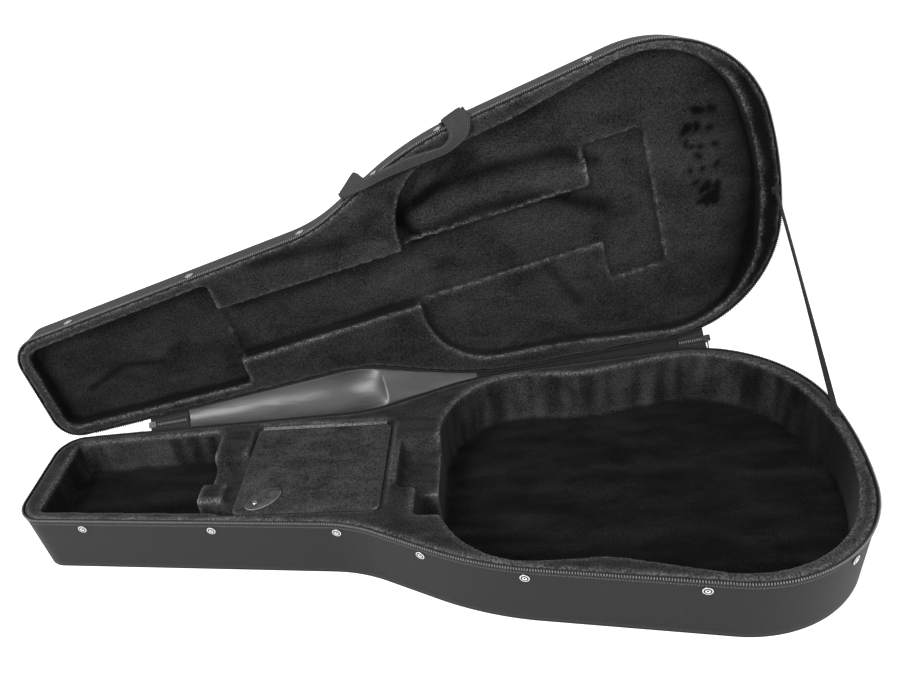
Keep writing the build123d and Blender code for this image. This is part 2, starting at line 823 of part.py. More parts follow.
# Accessory box lid with its leather tab
flap_top = base_height - flap_below_rim
flap_x0 = box_start + flap_clearance
flap_x1 = box_end - flap_clearance
flap_y0 = -box_half + flap_clearance
flap_y1 = box_half - flap_tape_thickness - flap_hinge_gap
flap_face = fillet(rectangle(flap_x0, flap_x1, flap_y0, flap_y1).vertices(), flap_corner_radius)
board_z = flap_top - flap_plush - flap_thickness
tab_pivot = (box_start + tab_rivet_from_box[0], -box_half + tab_rivet_from_box[1])
tab_z = flap_top + tab_lift
tab_top = tab_z + tab_thickness + pin_clearance
board = Pos(0, 0, board_z) * extrude(flap_face, flap_thickness, dir=(0, 0, 1))
flap_cover = Pos(0, 0, flap_top - flap_plush) * extrude(flap_face, flap_plush, dir=(0, 0, 1))
shank = Pos(*tab_pivot, (board_z + tab_top) / 2) * Cylinder(tab_rivet_shank, tab_top - board_z)
save("box_lid_board", board - shank)
save("box_lid_plush", flap_cover - shank)
save("box_lid_hinge_tape",
     region(flap_x0 + flap_corner_radius, flap_x1 - flap_corner_radius,
            box_half - flap_tape_thickness, box_half, flap_top - flap_tape_height, flap_top))
tab_face = Pos(tab_length / 2 - tab_rivet_end, 0) * Ellipse(tab_length / 2, tab_width / 2)
tab_face = Pos(*tab_pivot) * Rot(0, 0, tab_angle) * tab_face
tab_face = tab_face - Pos(*tab_pivot) * Circle(tab_rivet_shank + pin_clearance)
save("pull_tab", Pos(0, 0, tab_z) * extrude(tab_face, tab_thickness, dir=(0, 0, 1)))
rivet_cap = Pos(*tab_pivot, tab_top + tab_rivet_head / 2) * Cylinder(tab_rivet_radius,
                                                                 tab_rivet_head)
rivet_cap = chamfer(rivet_cap.edges().group_by(Axis.Z)[-1], tab_rivet_head / 2)
save("tab_rivet", shank + rivet_cap)

# Carrying handle, in a closed frame with X along it, Y out of the case and Z up
front_rim = [p for p in rim_samples if p.Y < 0]
handle_ends = [
    min(front_rim, key=lambda p: abs(p.X - from_tail(d))) for d in handle_from_tail
]
handle_along = (handle_ends[1] - handle_ends[0]).normalized()
handle_out = Vector(handle_along.Y, -handle_along.X, 0)
handle_span = (handle_ends[1] - handle_ends[0]).length
handle_seat = handle_patch_thickness + seat_gap + handle_loop_radius + handle_end_slack
handle_centre = (handle_ends[0] + handle_ends[1]) / 2
handle_centre += handle_out * (handle_seat - lid.wall_inset(handle_pivot_depth))
handle_centre += Vector(0, 0, lid.z(handle_pivot_depth))
handle_frame = Plane(origin=handle_centre, x_dir=-handle_along, z_dir=(0, 0, 1))
patch_band = lid.band(0, handle_patch_thickness, tape_bottom + seat_gap, handle_patch_bottom)
save("handle_patches", *[
    opened(patch_band & region(x0=p.X - handle_patch_length / 2,
                               x1=p.X + handle_patch_length / 2, y1=0))
    for p in handle_ends
])


def hung(shape):
    """A piece of the handle, swung to hang from the open lid."""
    return opened(handle_frame * (Rot(-handle_rest_swing, 0, 0) * shape))


leg_line = FilletPolyline(
    (0, 0), (handle_stand_off, 0), (handle_stand_off, -handle_leg_drop),
    radius=handle_bend_radius,
)
leg = extrude(Plane.YZ * trace(leg_line, handle_web_thickness), handle_web_width / 2, both=True)
loop = Rot(0, 90, 0) * Cylinder(handle_loop_radius, handle_web_width)
strap_line = Polyline(
    (-handle_span / 2, -handle_leg_drop), (-handle_grip_length / 2, -handle_drop),
    (handle_grip_length / 2, -handle_drop), (handle_span / 2, -handle_leg_drop),
)
strap_face = Plane.XZ * trace(strap_line, handle_web_width * cos(radians(45)))
strap = Pos(0, handle_stand_off, 0) * extrude(strap_face, handle_web_thickness / 2, both=True)
webbing = strap
for x in (-handle_span / 2, handle_span / 2):
    webbing += Pos(x, 0, 0) * (leg + loop)
grip = Box(handle_grip_length, handle_grip_thickness, handle_grip_width)
grip = fillet(grip.edges().filter_by(Axis.X), handle_grip_rounding)
grip = Pos(0, handle_stand_off, -handle_drop) * grip
save("handle_webbing", hung(webbing))
save("handle_grip", hung(grip - webbing))
handle_axis_ends = [
    opened(Vertex(*(handle_centre + handle_along * s))).center() for s in (0, 1)
]

# Stay tape between two patches on the rims at the tail
tail_rim = [p for p in rim_samples if p.X > tail_x - bout_radius and p.Y > 0]


def stay_patch(half, y):
    """Patch sewn to a rim, and the middle of its free face."""
    edge = min(tail_rim, key=lambda p: abs(p.Y - y))
    level = base_height if half is base else lid_rim_z - stay_anchor_thickness
    patch = Box(stay_anchor_length, stay_anchor_width, stay_anchor_thickness)
    middle = (edge.X - stay_from_edge, y, level + stay_anchor_thickness / 2)
    face_z = base_height + stay_anchor_thickness if half is base else level
    return Pos(*middle) * patch, Vector(middle[0], y, face_z)


base_patch, stay_low = stay_patch(base, stay_base_y)
lid_patch, stay_high = stay_patch(lid, stay_lid_y)
stay_high = opened(Vertex(*stay_high)).center()
stay_along = (stay_high - stay_low).normalized()
stay_length = (stay_high - stay_low).length
stay_flat = (hinge_direction - stay_along * stay_along.dot(hinge_direction)).normalized()
stay_frame = Plane(origin=(stay_low + stay_high) / 2, x_dir=stay_along,
                   z_dir=stay_along.cross(stay_flat))
save("stay_base_patch", base_patch)
save("stay_lid_patch", opened(lid_patch))
save("stay_tape",
     stay_frame * Box(stay_length - 2 * stay_end_gap, stay_width, stay_thickness))

# Places of the joints and of the other ends, for reading off
places = {
    "hinge": (hinge_point, hinge_direction),
    "handle": tuple(handle_axis_ends),
    "stay": (stay_low, stay_high),
    "tab": (Vector(*tab_pivot, tab_z),),
    "box_lid": (Vector(box_start, box_half - flap_tape_thickness, flap_top),),
    **{f"{name}_slider": bars for name, bars in slider_bars.items()},
}
for name, values in places.items():
    print(name, *[tuple(round(c, 3) for c in v) if isinstance(v, Vector) else round(v, 3)
                  for v in values])
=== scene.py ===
# %% [markdown]
# # An acoustic guitar case, standing open
# The case is a foam shell in a woven cover, lined with black plush and closed by a coil
# zipper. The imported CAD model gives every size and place. Blender adds the cloth, the thread,
# the teeth and the light. Everything is in metres, in the frame of the CAD.

# %% Load the frame
import json
import math
import random
from contextlib import contextmanager

import bmesh
import bpy
import numpy as np
from mathutils import Matrix, Vector, kdtree, noise


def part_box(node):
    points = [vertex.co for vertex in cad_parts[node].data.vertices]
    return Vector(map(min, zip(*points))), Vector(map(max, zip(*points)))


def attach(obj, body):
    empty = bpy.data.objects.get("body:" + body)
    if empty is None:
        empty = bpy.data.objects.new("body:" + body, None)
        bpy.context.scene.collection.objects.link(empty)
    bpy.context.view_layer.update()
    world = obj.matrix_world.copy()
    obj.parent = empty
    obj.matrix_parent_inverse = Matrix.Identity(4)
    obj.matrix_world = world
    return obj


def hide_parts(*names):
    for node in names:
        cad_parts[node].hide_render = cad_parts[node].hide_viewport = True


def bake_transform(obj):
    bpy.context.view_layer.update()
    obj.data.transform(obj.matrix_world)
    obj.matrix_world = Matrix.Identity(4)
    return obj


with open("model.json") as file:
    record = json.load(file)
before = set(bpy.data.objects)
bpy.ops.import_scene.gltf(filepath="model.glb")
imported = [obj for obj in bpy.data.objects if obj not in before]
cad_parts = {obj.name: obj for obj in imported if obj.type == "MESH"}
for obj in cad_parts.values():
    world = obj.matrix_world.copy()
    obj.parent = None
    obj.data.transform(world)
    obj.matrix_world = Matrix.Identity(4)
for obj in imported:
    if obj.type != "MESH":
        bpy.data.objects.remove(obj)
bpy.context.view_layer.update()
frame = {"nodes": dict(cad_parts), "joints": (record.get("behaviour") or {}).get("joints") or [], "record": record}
joints = {joint["name"]: joint for joint in frame["joints"]}
mm = 0.001

# %% [markdown]
# ## Two halves and one hinge
# Both halves of the case have the same outline at their rims and walls that draw in a little
# towards their panels. It is easiest to work on the closed case and then to turn the pieces
# of the lid about the hinge, as a maker sews both halves flat on the bench. A small class
# holds the height of each rim, the way its wall runs and the turn that opens it.

# %% The two halves
hinge_point = Vector(joints["lid_hinge"]["pos_m"])
hinge_along = Vector(joints["lid_hinge"]["axis"]).normalized()
hinge_out = Vector((-hinge_along.y, hinge_along.x, 0))
open_angle = math.radians(joints["lid_hinge"]["range_deg"][1])
turn_open = (
    Matrix.Translation(hinge_point)
    @ Matrix.Rotation(-open_angle, 4, hinge_along)
    @ Matrix.Translation(-hinge_point)
)
wall_draft = math.tan(math.radians(3.0))
rim_gap = 1.6 * mm
panel_bevel, bevel_slope = 4.5 * mm, 0.95
lid_height = 50 * mm


def turned(points, matrix):
    """Points turned by a matrix, as rows of numbers."""
    turn = np.array(matrix)
    return np.asarray(points, float) @ turn[:3, :3].T + turn[:3, 3]


class Half:
    """One half of the case. Depths are measured from its rim towards its panel."""

    def __init__(self, name, rim_z, direction, height, matrix):
        self.name, self.rim_z, self.direction = name, rim_z, direction
        self.height, self.matrix = height, matrix

    def inset(self, depth):
        """How far the wall has drawn in at a depth, with its bevel at the panel."""
        bevel = max(0.0, depth - (self.height - panel_bevel))
        return max(0.0, depth) * wall_draft + bevel * bevel_slope

    def ring(self, outline, depth, out=0.0):
        """The outline on the wall at a depth, out beyond its face, in place."""
        flat = outline.points + outline.normals * (out - self.inset(depth))
        z = np.full(len(flat), self.rim_z + self.direction * depth)
        return turned(np.column_stack([flat, z]), self.matrix)

    def outward(self, outline):
        """Directions out of the wall, in place."""
        flat = np.column_stack([outline.normals, np.zeros(len(outline.normals))])
        return flat @ np.array(self.matrix)[:3, :3].T


base_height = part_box("base_outer_cover")[1].z
base = Half("base", base_height, -1, base_height, Matrix.Identity(4))
lid = Half("lid", base_height + rim_gap, 1, lid_height, turn_open)
print("base height", round(base_height / mm, 1), "mm, open angle", round(math.degrees(open_angle)))

# %% [markdown]
# ## The outline
# A dreadnought case is drawn with straight lines and arcs: a small arc at each head corner, a
# hollow one where the neck widens, a long one over the shoulder and one round the bout. The
# path below is walked in small even steps, and each step keeps its place, its direction and
# its distance from the start, so thread and teeth can be set along it evenly.

# %% The outline of the rim
case_low, case_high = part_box("base_outer_cover")
head_x, tail_x = case_low.x, case_high.x
corners = [
    ((head_x, 84 * mm), 39 * mm),
    ((tail_x - 626 * mm, 111 * mm), 200 * mm),
    ((tail_x - 464 * mm, 183.5 * mm), 440 * mm),
]
side_angle = math.radians(6.6)
bout_radius, tail_radius = 164 * mm, 537 * mm


def arc_points(centre, start, end, step=0.5 * mm):
    """Points on the arc from start to end, the short way round."""
    radius = (start - centre).length
    a0 = math.atan2(*(start - centre).yx)
    sweep = (math.atan2(*(end - centre).yx) - a0 + math.pi) % (2 * math.pi) - math.pi
    count = max(2, int(abs(sweep) * radius / step))
    angles = [a0 + sweep * i / count for i in range(count + 1)]
    return [centre + Vector((math.cos(a), math.sin(a))) * radius for a in angles]


def half_outline():
    """The hinge side of the outline, from the middle of the head end to the tail."""
    tail_centre = Vector((tail_x - tail_radius, 0))
    shoulder = Vector(corners[-1][0])
    side = Vector((math.cos(side_angle), math.sin(side_angle)))
    inward = Vector((side.y, -side.x))
    # The bout arc touches the straight side and runs inside the tail arc
    offset_start = shoulder + inward * bout_radius - tail_centre
    along = offset_start.dot(side)
    reach = math.sqrt(
        along**2 - offset_start.length_squared + (tail_radius - bout_radius) ** 2
    ) - along
    bout_centre = shoulder + inward * bout_radius + side * reach
    bout_start = bout_centre - inward * bout_radius
    path = [Vector((head_x, 0))]
    fixed = path + [Vector(c) for c, _ in corners] + [bout_start]
    for i, (_, radius) in enumerate(corners, start=1):
        before = (fixed[i - 1] - fixed[i]).normalized()
        after = (fixed[i + 1] - fixed[i]).normalized()
        half = before.angle(after) / 2
        centre = fixed[i] + (before + after).normalized() * radius / math.sin(half)
        reach = radius / math.tan(half)
        path = path + arc_points(centre, fixed[i] + before * reach, fixed[i] + after * reach)
    touch = tail_centre + (bout_centre - tail_centre).normalized() * tail_radius
    path += arc_points(bout_centre, bout_start, touch)
    return path + arc_points(tail_centre, touch, Vector((tail_x, 0)))


def distances(path):
    """How far one has walked at each point of a path."""
    steps = np.linalg.norm(np.diff(path, axis=0), axis=1)
    return np.concatenate([[0], np.cumsum(steps)])


def unit(rows):
    """Rows of numbers as directions of length one."""
    return rows / np.linalg.norm(rows, axis=-1, keepdims=True)


def resampled(places, walked, values):
    """Rows of values at new places along a walk."""
    return np.column_stack([np.interp(places, walked, column) for column in values.T])


class Outline:
    """Points round a closed path in even steps, with outward normals and distances."""

    def __init__(self, path, step):
        path = np.array([tuple(p) for p in path])
        walked = distances(path)
        self.count = int(round(walked[-1] / step)) + 1
        self.distance = np.linspace(0, walked[-1], self.count)
        self.points = resampled(self.distance, walked, path)
        tangents = np.gradient(self.points, axis=0)
        tangents[0] = tangents[-1] = self.points[1] - self.points[-2]
        tangents = unit(tangents)
        self.normals = np.column_stack([-tangents[:, 1], tangents[:, 0]])


upper_side = half_outline()
full_path = upper_side + [Vector((p.x, -p.y)) for p in upper_side[::-1]][1:]
rim_step = 4 * mm
rim, fine_rim = Outline(full_path, rim_step), Outline(full_path, 1 * mm)
print("rim length", round(rim.distance[-1], 3), "m in", rim.count, "steps")

# %% [markdown]
# ## Making meshes
# Cloth is made here from rows of points, like strips on a loom. Each row follows the outline,
# each point carries a UV in metres, so a weave keeps its real size. Loose ends are merged and
# the faces are turned outwards.


# %% Mesh helpers
def link(name, mesh, material=None):
    """A new object for a mesh, in the scene."""
    piece = bpy.data.objects.new(name, mesh)
    bpy.context.scene.collection.objects.link(piece)
    if material:
        mesh.materials.append(material)
    return piece


@contextmanager
def editing(mesh):
    """A bmesh of a mesh, written back when the work is done."""
    work = bmesh.new()
    work.from_mesh(mesh)
    yield work
    work.to_mesh(mesh)
    work.free()


def surface(name, rows, uvs, material, merge=1e-6):
    """A quad surface through rows of points, with a UV in metres at each of them."""
    rows, uvs = np.asarray(rows, float), np.asarray(uvs, float)
    count, width = rows.shape[:2]
    mesh = bpy.data.meshes.new(name)
    corner = np.arange(count * width).reshape(count, width)
    quads = np.stack(
        [corner[:-1, :-1], corner[1:, :-1], corner[1:, 1:], corner[:-1, 1:]], axis=-1
    ).reshape(-1, 4)
    mesh.from_pydata(rows.reshape(-1, 3).tolist(), [], quads.tolist())
    layer = mesh.uv_layers.new(name="cloth")
    layer.data.foreach_set("uv", uvs.reshape(-1, 2)[quads.reshape(-1)].ravel())
    with editing(mesh) as work:
        bmesh.ops.remove_doubles(work, verts=work.verts, dist=merge)
        bmesh.ops.dissolve_degenerate(work, edges=work.edges, dist=merge)
        bmesh.ops.recalc_face_normals(work, faces=work.faces)
        for face in work.faces:
            face.smooth = True
    return link(name, mesh, material)


def capped(piece):
    """Closes the open ends of a piece."""
    with editing(piece.data) as work:
        open_edges = [edge for edge in work.edges if edge.is_boundary]
        bmesh.ops.holes_fill(work, edges=open_edges, sides=0)
        bmesh.ops.recalc_face_normals(work, faces=work.faces)
    return piece


def settle(piece):
    """Replaces a piece's mesh by what its modifiers make of it."""
    bpy.context.view_layer.update()
    evaluated = piece.evaluated_get(bpy.context.evaluated_depsgraph_get())
    mesh = bpy.data.meshes.new_from_object(evaluated)
    piece.modifiers.clear()
    old, piece.data = piece.data, mesh
    bpy.data.meshes.remove(old)
    return piece


def thicken(piece, thickness, outwards=-1.0):
    """Gives a sheet its thickness, inwards from its outer face."""
    solid = piece.modifiers.new("thickness", "SOLIDIFY")
    solid.thickness, solid.offset, solid.use_even_offset = thickness, outwards, True
    return settle(piece)


def reskinned(piece, voxel):
    """Gives a piece one closed skin of small even faces."""
    remesh = piece.modifiers.new("skin", "REMESH")
    remesh.mode, remesh.voxel_size, remesh.use_smooth_shade = "VOXEL", voxel, True
    return settle(piece)


def numbers(items, key, width, kind=float):
    """One property of all items of a mesh, as rows of numbers."""
    values = np.empty(len(items) * width, kind)
    items.foreach_get(key, values)
    return values.reshape(-1, width)


def averager(mesh):
    """A function that gives each vertex the mean of its neighbours' values."""
    a, b = numbers(mesh.edges, "vertices", 2, int).T
    degree = np.bincount(np.concatenate([a, b]), minlength=len(mesh.vertices))
    degree = np.maximum(degree, 1)[:, None]

    def averaged(values):
        total = np.zeros_like(values)
        np.add.at(total, a, values[b])
        np.add.at(total, b, values[a])
        return total / degree

    return averaged


def dress(piece, body, slot, *cad):
    """Hangs a piece on the body it rides on and hides the CAD nodes it stands for. Its slot is not used."""
    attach(piece, body)
    if cad:
        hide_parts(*cad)


# %% [markdown]
# ## Cloth, thread and metal
# Each finish is a small node tree. Weave, rib and grain come from wave and noise textures in
# the cloth's own UV or in object space, and they drive both the bump and a slight change of
# colour, because thread catches the light on its crowns and holds shadow between them.


# %% Material helpers
def new_material(name, colour, roughness, metallic=0.0, sheen=0.0, specular=0.5):
    """A material with one Principled shader and its fixed values."""
    material = bpy.data.materials.new(name)
    material.use_nodes = True
    sockets = material.node_tree.nodes["Principled BSDF"].inputs
    for key, value in (("Base Color", (*colour, 1)), ("Roughness", roughness),
                       ("Metallic", metallic), ("Sheen Weight", sheen),
                       ("Sheen Roughness", 0.4), ("Specular IOR Level", specular)):
        sockets[key].default_value = value
    return material


def node(owner, kind, inputs=(), **settings):
    """A node of a tree or its owner, with its settings, and its inputs set or linked."""
    tree = getattr(owner, "node_tree", owner)
    made = tree.nodes.new(kind)
    for key, value in settings.items():
        setattr(made, key, value)
    for key, value in dict(inputs).items():
        if isinstance(value, bpy.types.NodeSocket):
            tree.links.new(value, made.inputs[key])
        else:
            made.inputs[key].default_value = value
    return made


def maths(owner, operation, *values):
    """The result of one sum."""
    inputs = dict(enumerate(values))
    return node(owner, "ShaderNodeMath", inputs, operation=operation).outputs[0]


def remapped(material, value, *bounds):
    """A value moved from one range to another."""
    inputs = dict(zip(("From Min", "From Max", "To Min", "To Max"), bounds), Value=value)
    return node(material, "ShaderNodeMapRange", inputs).outputs[0]


def coordinates(material, source, scale):
    """UV or object coordinates, scaled."""
    start = node(material, "ShaderNodeTexCoord").outputs[source]
    mapped = node(material, "ShaderNodeMapping", {"Vector": start, "Scale": scale})
    return mapped.outputs["Vector"]


def speckle(material, scale, detail=2.0, stretch=(1, 1, 1), source="Object", **more):
    """Noise over a piece. More can say its Roughness and its Distortion."""
    place = coordinates(material, source, stretch)
    inputs = {"Vector": place, "Scale": scale, "Detail": detail, **more}
    return node(material, "ShaderNodeTexNoise", inputs).outputs["Fac"]


def plug(material, socket, name):
    """Links a socket to an input of the material's shader."""
    shader = material.node_tree.nodes["Principled BSDF"]
    material.node_tree.links.new(socket, shader.inputs[name])
    return socket


def shade(material, factor, dark, light, low=0.0, high=1.0):
    """Colour that runs from dark to light with a factor."""
    ramp = node(material, "ShaderNodeValToRGB", {"Fac": factor})
    for stop, colour, place in zip(ramp.color_ramp.elements, (dark, light), (low, high)):
        stop.color = (*colour, 1)
        stop.position = place
    return plug(material, ramp.outputs["Color"], "Base Color")


def raise_surface(material, height, distance, strength=1.0, before=None):
    """Bump of a real height, on top of an earlier one where there is one."""
    inputs = {"Height": height, "Distance": distance, "Strength": strength}
    if before:
        inputs["Normal"] = before
    return plug(material, node(material, "ShaderNodeBump", inputs).outputs["Normal"], "Normal")


def grained(name, colour, roughness, scale, depth, tones=(), detail=2.0, **finish):
    """A plain finish with a fine grain in its height, and in its colour if it has tones."""
    material = new_material(name, colour, roughness, **finish)
    grain = speckle(material, scale, detail)
    if tones:
        shade(material, grain, *tones)
    raise_surface(material, grain, depth)
    return material


def weave(name, dark, light, pitch, roughness=0.7, sheen=0.15, depth=0.2 * mm):
    """Plain weave: two crossed sets of threads with a little unevenness."""
    material = new_material(name, light, roughness, sheen=sheen, specular=0.16)
    # A wave texture repeats every pi / 10 of its coordinate
    place = coordinates(material, "UV", (math.pi / 10 / pitch,) * 3)
    waves = [node(material, "ShaderNodeTexWave",
                  {"Vector": place, "Scale": 1.0, "Distortion": 0.15},
                  bands_direction=direction, wave_profile="SIN").outputs["Fac"]
             for direction in ("X", "Y")]
    threads = maths(material, "MULTIPLY", *waves)
    grain = speckle(material, 900.0, 3.0)
    mixed = maths(material, "MULTIPLY_ADD", threads, grain, grain)
    shade(material, mixed, dark, light, 0.2, 0.9)
    raise_surface(material, mixed, depth)
    return material


cover_cloth = weave("woven cover", (0.004, 0.004, 0.0041), (0.02, 0.02, 0.0205), 0.7 * mm,
                    roughness=0.62, sheen=0.03)
binding_cloth = weave("hinge binding", (0.003, 0.003, 0.003), (0.016, 0.016, 0.017), 0.8 * mm,
                      sheen=0.04)
webbing = weave("webbing", (0.004, 0.004, 0.0042), (0.05, 0.05, 0.051), 2.2 * mm, sheen=0.04,
                depth=0.4 * mm)
print("materials", len(bpy.data.materials))

# %% [markdown]
# ## Plush
# The lining is short black pile. In the light it turns grey where the pile leans towards the
# eye, so it needs a fine grain and soft brushed streaks much more than it needs colour. Two
# numbers are stored on the mesh and scale its colour: painted light and shade from how the pile
# lies and faces, darker in the deep bay, and a painted highlight on its sharp edges.


# %% Plush material
def plush(name, streak_scale, streak, dark=(0.003, 0.003, 0.003), light=(0.052, 0.052, 0.053)):
    """Short pile with grain, brushed streaks, painted light and shade from its nap, and painted highlights on its
    sharp edges.
    """
    material = new_material(name, light, 0.95, sheen=0.04, specular=0.06)
    fibre = speckle(material, 520.0, 3.0, Roughness=0.75)
    brushed = speckle(material, streak_scale, 4.0, streak, Roughness=0.55, Distortion=0.5)
    streaks = remapped(material, brushed, 0.3, 0.7, 0.42, 0.58)
    ramp = shade(material, maths(material, "MULTIPLY", fibre, streaks), dark, light, 0.17, 0.37)
    # Painted light and shade: the nap and the facing of the pile scale its colour, and sharp edges get a broken
    # painted highlight
    nap, worn = (node(material, "ShaderNodeAttribute", attribute_name=name).outputs["Fac"]
                 for name in ("nap", "worn"))
    broken = remapped(material, speckle(material, 420.0), 0.42, 0.62, 0.15, 1.0)
    pale = maths(material, "MULTIPLY", worn, broken)
    nap_shaded = node(material, "ShaderNodeVectorMath", {0: ramp, "Scale": nap},
                   operation="SCALE")
    edged = node(material, "ShaderNodeMix",
                 {0: pale, 6: nap_shaded.outputs["Vector"], 7: (0.24, 0.24, 0.235, 1)},
                 data_type="RGBA", blend_type="MIX")
    plug(material, edged.outputs[2], "Base Color")
    raise_surface(material, fibre, 0.5 * mm,
                  before=raise_surface(material, brushed, 1.0 * mm))
    return material


base_plush = plush("plush of the base", 20.0, (1.0, 2.2, 1.0))
lid_plush = plush("plush of the lid", 14.0, (1.0, 1.0, 1.6))


def paint_pile_light(piece, nap_at, start=0.05, full=0.2):
    """Stores painted light and shade from how the pile lies and faces, and a painted highlight on sharp edges, on
    a mesh.
    """
    mesh = piece.data
    co = numbers(mesh.vertices, "co", 3)
    normals = numbers(mesh.vertex_normals, "vector", 3)
    edges = numbers(mesh.edges, "vertices", 2, int)
    averaged = averager(mesh)
    length = np.linalg.norm(co[edges[:, 0]] - co[edges[:, 1]], axis=1).mean()
    bend = ((co - averaged(co)) * normals).sum(axis=1) / length
    worn = np.clip((bend - start) / (full - start), 0, 1)[:, None]
    worn = np.maximum(worn, averaged(worn) * 0.8)[:, 0]
    nap = averaged(np.array([nap_at(p, n) for p, n in zip(co, normals)])[:, None])[:, 0]
    for name, values in (("worn", worn), ("nap", nap)):
        stored = mesh.attributes.new(name, "FLOAT", "POINT")
        stored.data.foreach_set("value", values.astype(np.float32))


def base_nap_and_shade(point, normal):
    """Pile of the base, with painted shade: dark on the bay floor and on walls that face the head end."""
    sideways = 0.22 + 0.2 * normal[0] + 1.1 * max(0.0, -normal[1])
    combed = noise.noise(Vector((point[0] * 75, point[1] * 75, point[2] * 9)))
    sideways *= 1 + 0.9 * combed
    brushed = noise.noise(Vector((point[0] * 9, point[1] * 55, 0.5)))
    # Painted shade: below 60 mm, on the floor of the bay, the pile is much darker than on the tops
    flat = 0.85 if point[2] > 0.06 else 0.28 + 0.22 * brushed
    upward = max(0.0, normal[2]) ** 2
    return max(0.03, flat * upward + sideways * (1 - upward))


def lid_nap_and_shade(point, normal):
    """Pile of the lid, with painted light and shade: light where it faces out, dark on its walls and towards the
    head end.
    """
    head = 0.3 * min(1.0, max(0.0, (-0.1 - point[0]) / 0.25))
    return max(0.1, 0.3 + 0.2 * normal[0] + 0.62 * max(0.0, -normal[1]) - head)


print("plush", base_plush.name, "and", lid_plush.name)

# %% [markdown]
# ## Marks in the pile
# Pile that was pressed or brushed stays so. The lid shows the strokes of a hand, a patch of
# small dabs at its tail and a wide band of painted shade along its tail wall. Each mark is a
# line in the plan of the closed case, with a width, a change of the nap and a change of height,
# and it fades to both sides.

# %% Marks in the lid
# Line, half width in mm, change of the nap, change of height in mm
lid_marks = [
    ([(40, -88), (92, -106), (160, -112), (222, -108), (276, -104), (318, -72)], 11, -0.5, -1.5),
    ([(54, -42), (102, -54), (148, -62), (238, -50), (320, -4)], 12, -0.5, -1.5),
    ([(74, -72), (186, -80), (296, -70)], 14, 0.3, 2.5),
    ([(40, -80), (54, -54)], 9, -0.6, 0.0), ([(-2, -102), (14, -106)], 12, -0.35, 0.0),
    ([(42, -122), (46, -106)], 10, -0.35, 0.0), ([(-170, -96), (-46, -84)], 12, -0.4, 0.0),
    ([(-484, 26), (-418, 6), (-362, 18)], 5, -0.3, 0.0), ([(222, 54), (252, 122)], 9, -0.35, 0.0),
    ([(146, 72), (162, 88)], 3, 0.5, 0.0), ([(158, -134), (108, -118), (74, -98)], 9, -0.3, 0.0),
    # Painted shade: a wide dark band along the tail wall of the lid
    ([(530, -150), (556, 0), (506, 150)], 46, -0.7, 0.0),
]
mark_depth = 1.4
chance = random.Random(4)
for _ in range(30):
    mark = (456 + chance.gauss(0, 16), -36 + chance.uniform(-72, 72))
    turn = chance.uniform(0, math.pi)
    reach = chance.uniform(2, 6)
    far = (mark[0] + reach * math.cos(turn), mark[1] + reach * math.sin(turn))
    lid_marks.append(([mark, far], chance.uniform(3.5, 6.0), -0.6, -0.7))


def distance_to_line(points, line):
    """Distance in plan from each point to a line of segments."""
    nearest = np.full(len(points), 1e9)
    for a, b in zip(np.array(line[:-1]) * mm, np.array(line[1:]) * mm):
        share = np.clip(((points - a) @ (b - a)) / ((b - a) @ (b - a)), 0, 1)[:, None]
        nearest = np.minimum(nearest, np.linalg.norm(points - a - share * (b - a), axis=1))
    return nearest


def marked(closed_points, column):
    """Change of nap (2) or of height (3) that the marks leave at each point."""
    change = np.zeros(len(closed_points))
    for mark in lid_marks:
        away = distance_to_line(closed_points[:, :2], mark[0])
        change += mark[column] * np.exp(-(away / (mark[1] * mm)) ** 2)
    return change


print(len(lid_marks), "marks")

# %% [markdown]
# ## The padded lining
# The foam boards and the plush over them are one soft body to the eye. The CAD has each board
# apart. They are joined here and given one skin with a voxel remesh, which rounds every edge
# as pile does. A little smoothing and noise then takes away what is left of the sharp CAD.


# %% The lining of each half
def joined_nodes(names):
    """One mesh of several CAD nodes, with each node's loose triangles merged."""
    mesh = bpy.data.meshes.new("joined")
    for name in names:
        copy = frame["nodes"][name].data.copy()
        with editing(copy) as part:
            bmesh.ops.remove_doubles(part, verts=part.verts, dist=1e-6)
        with editing(mesh) as work:
            work.from_mesh(copy)
        bpy.data.meshes.remove(copy)
    return mesh


def kept_inside(half, closed, wall_room=2.2 * mm, panel_room=1.8 * mm, rim_room=0.2 * mm):
    """Keeps the points of a lining clear of the wall, the panel and the rim."""
    tree = kdtree.KDTree(rim.count)
    for i, (x, y) in enumerate(rim.points):
        tree.insert((x, y, 0), i)
    tree.balance()
    for k, point in enumerate(closed):
        nearest = tree.find((point[0], point[1], 0))[1]
        normal = rim.normals[nearest]
        depth = (point[2] - half.rim_z) * half.direction
        room = (rim.points[nearest] - point[:2]) @ normal - half.inset(depth)
        if room < wall_room:
            closed[k, :2] -= normal * (wall_room - room)
        depth = min(max(depth, rim_room), half.height - panel_room)
        closed[k, 2] = half.rim_z + half.direction * depth
    return closed


def dented(half, points):
    """Slow waves of the pile, along Z only, none of them above the rim."""
    for k, point in enumerate(points):
        depth = (point[2] - half.rim_z) * half.direction
        if 3 * mm < depth < half.height - 4 * mm:
            wave = noise.noise(Vector(point) * 28) + 0.5 * noise.noise(Vector(point) * 90)
            points[k, 2] += wave * 0.8 * mm
    if half is lid:
        deep = (points[:, 2] - half.rim_z) > 25 * mm
        points[deep, 2] -= marked(points[deep], 3) * mm
    return points


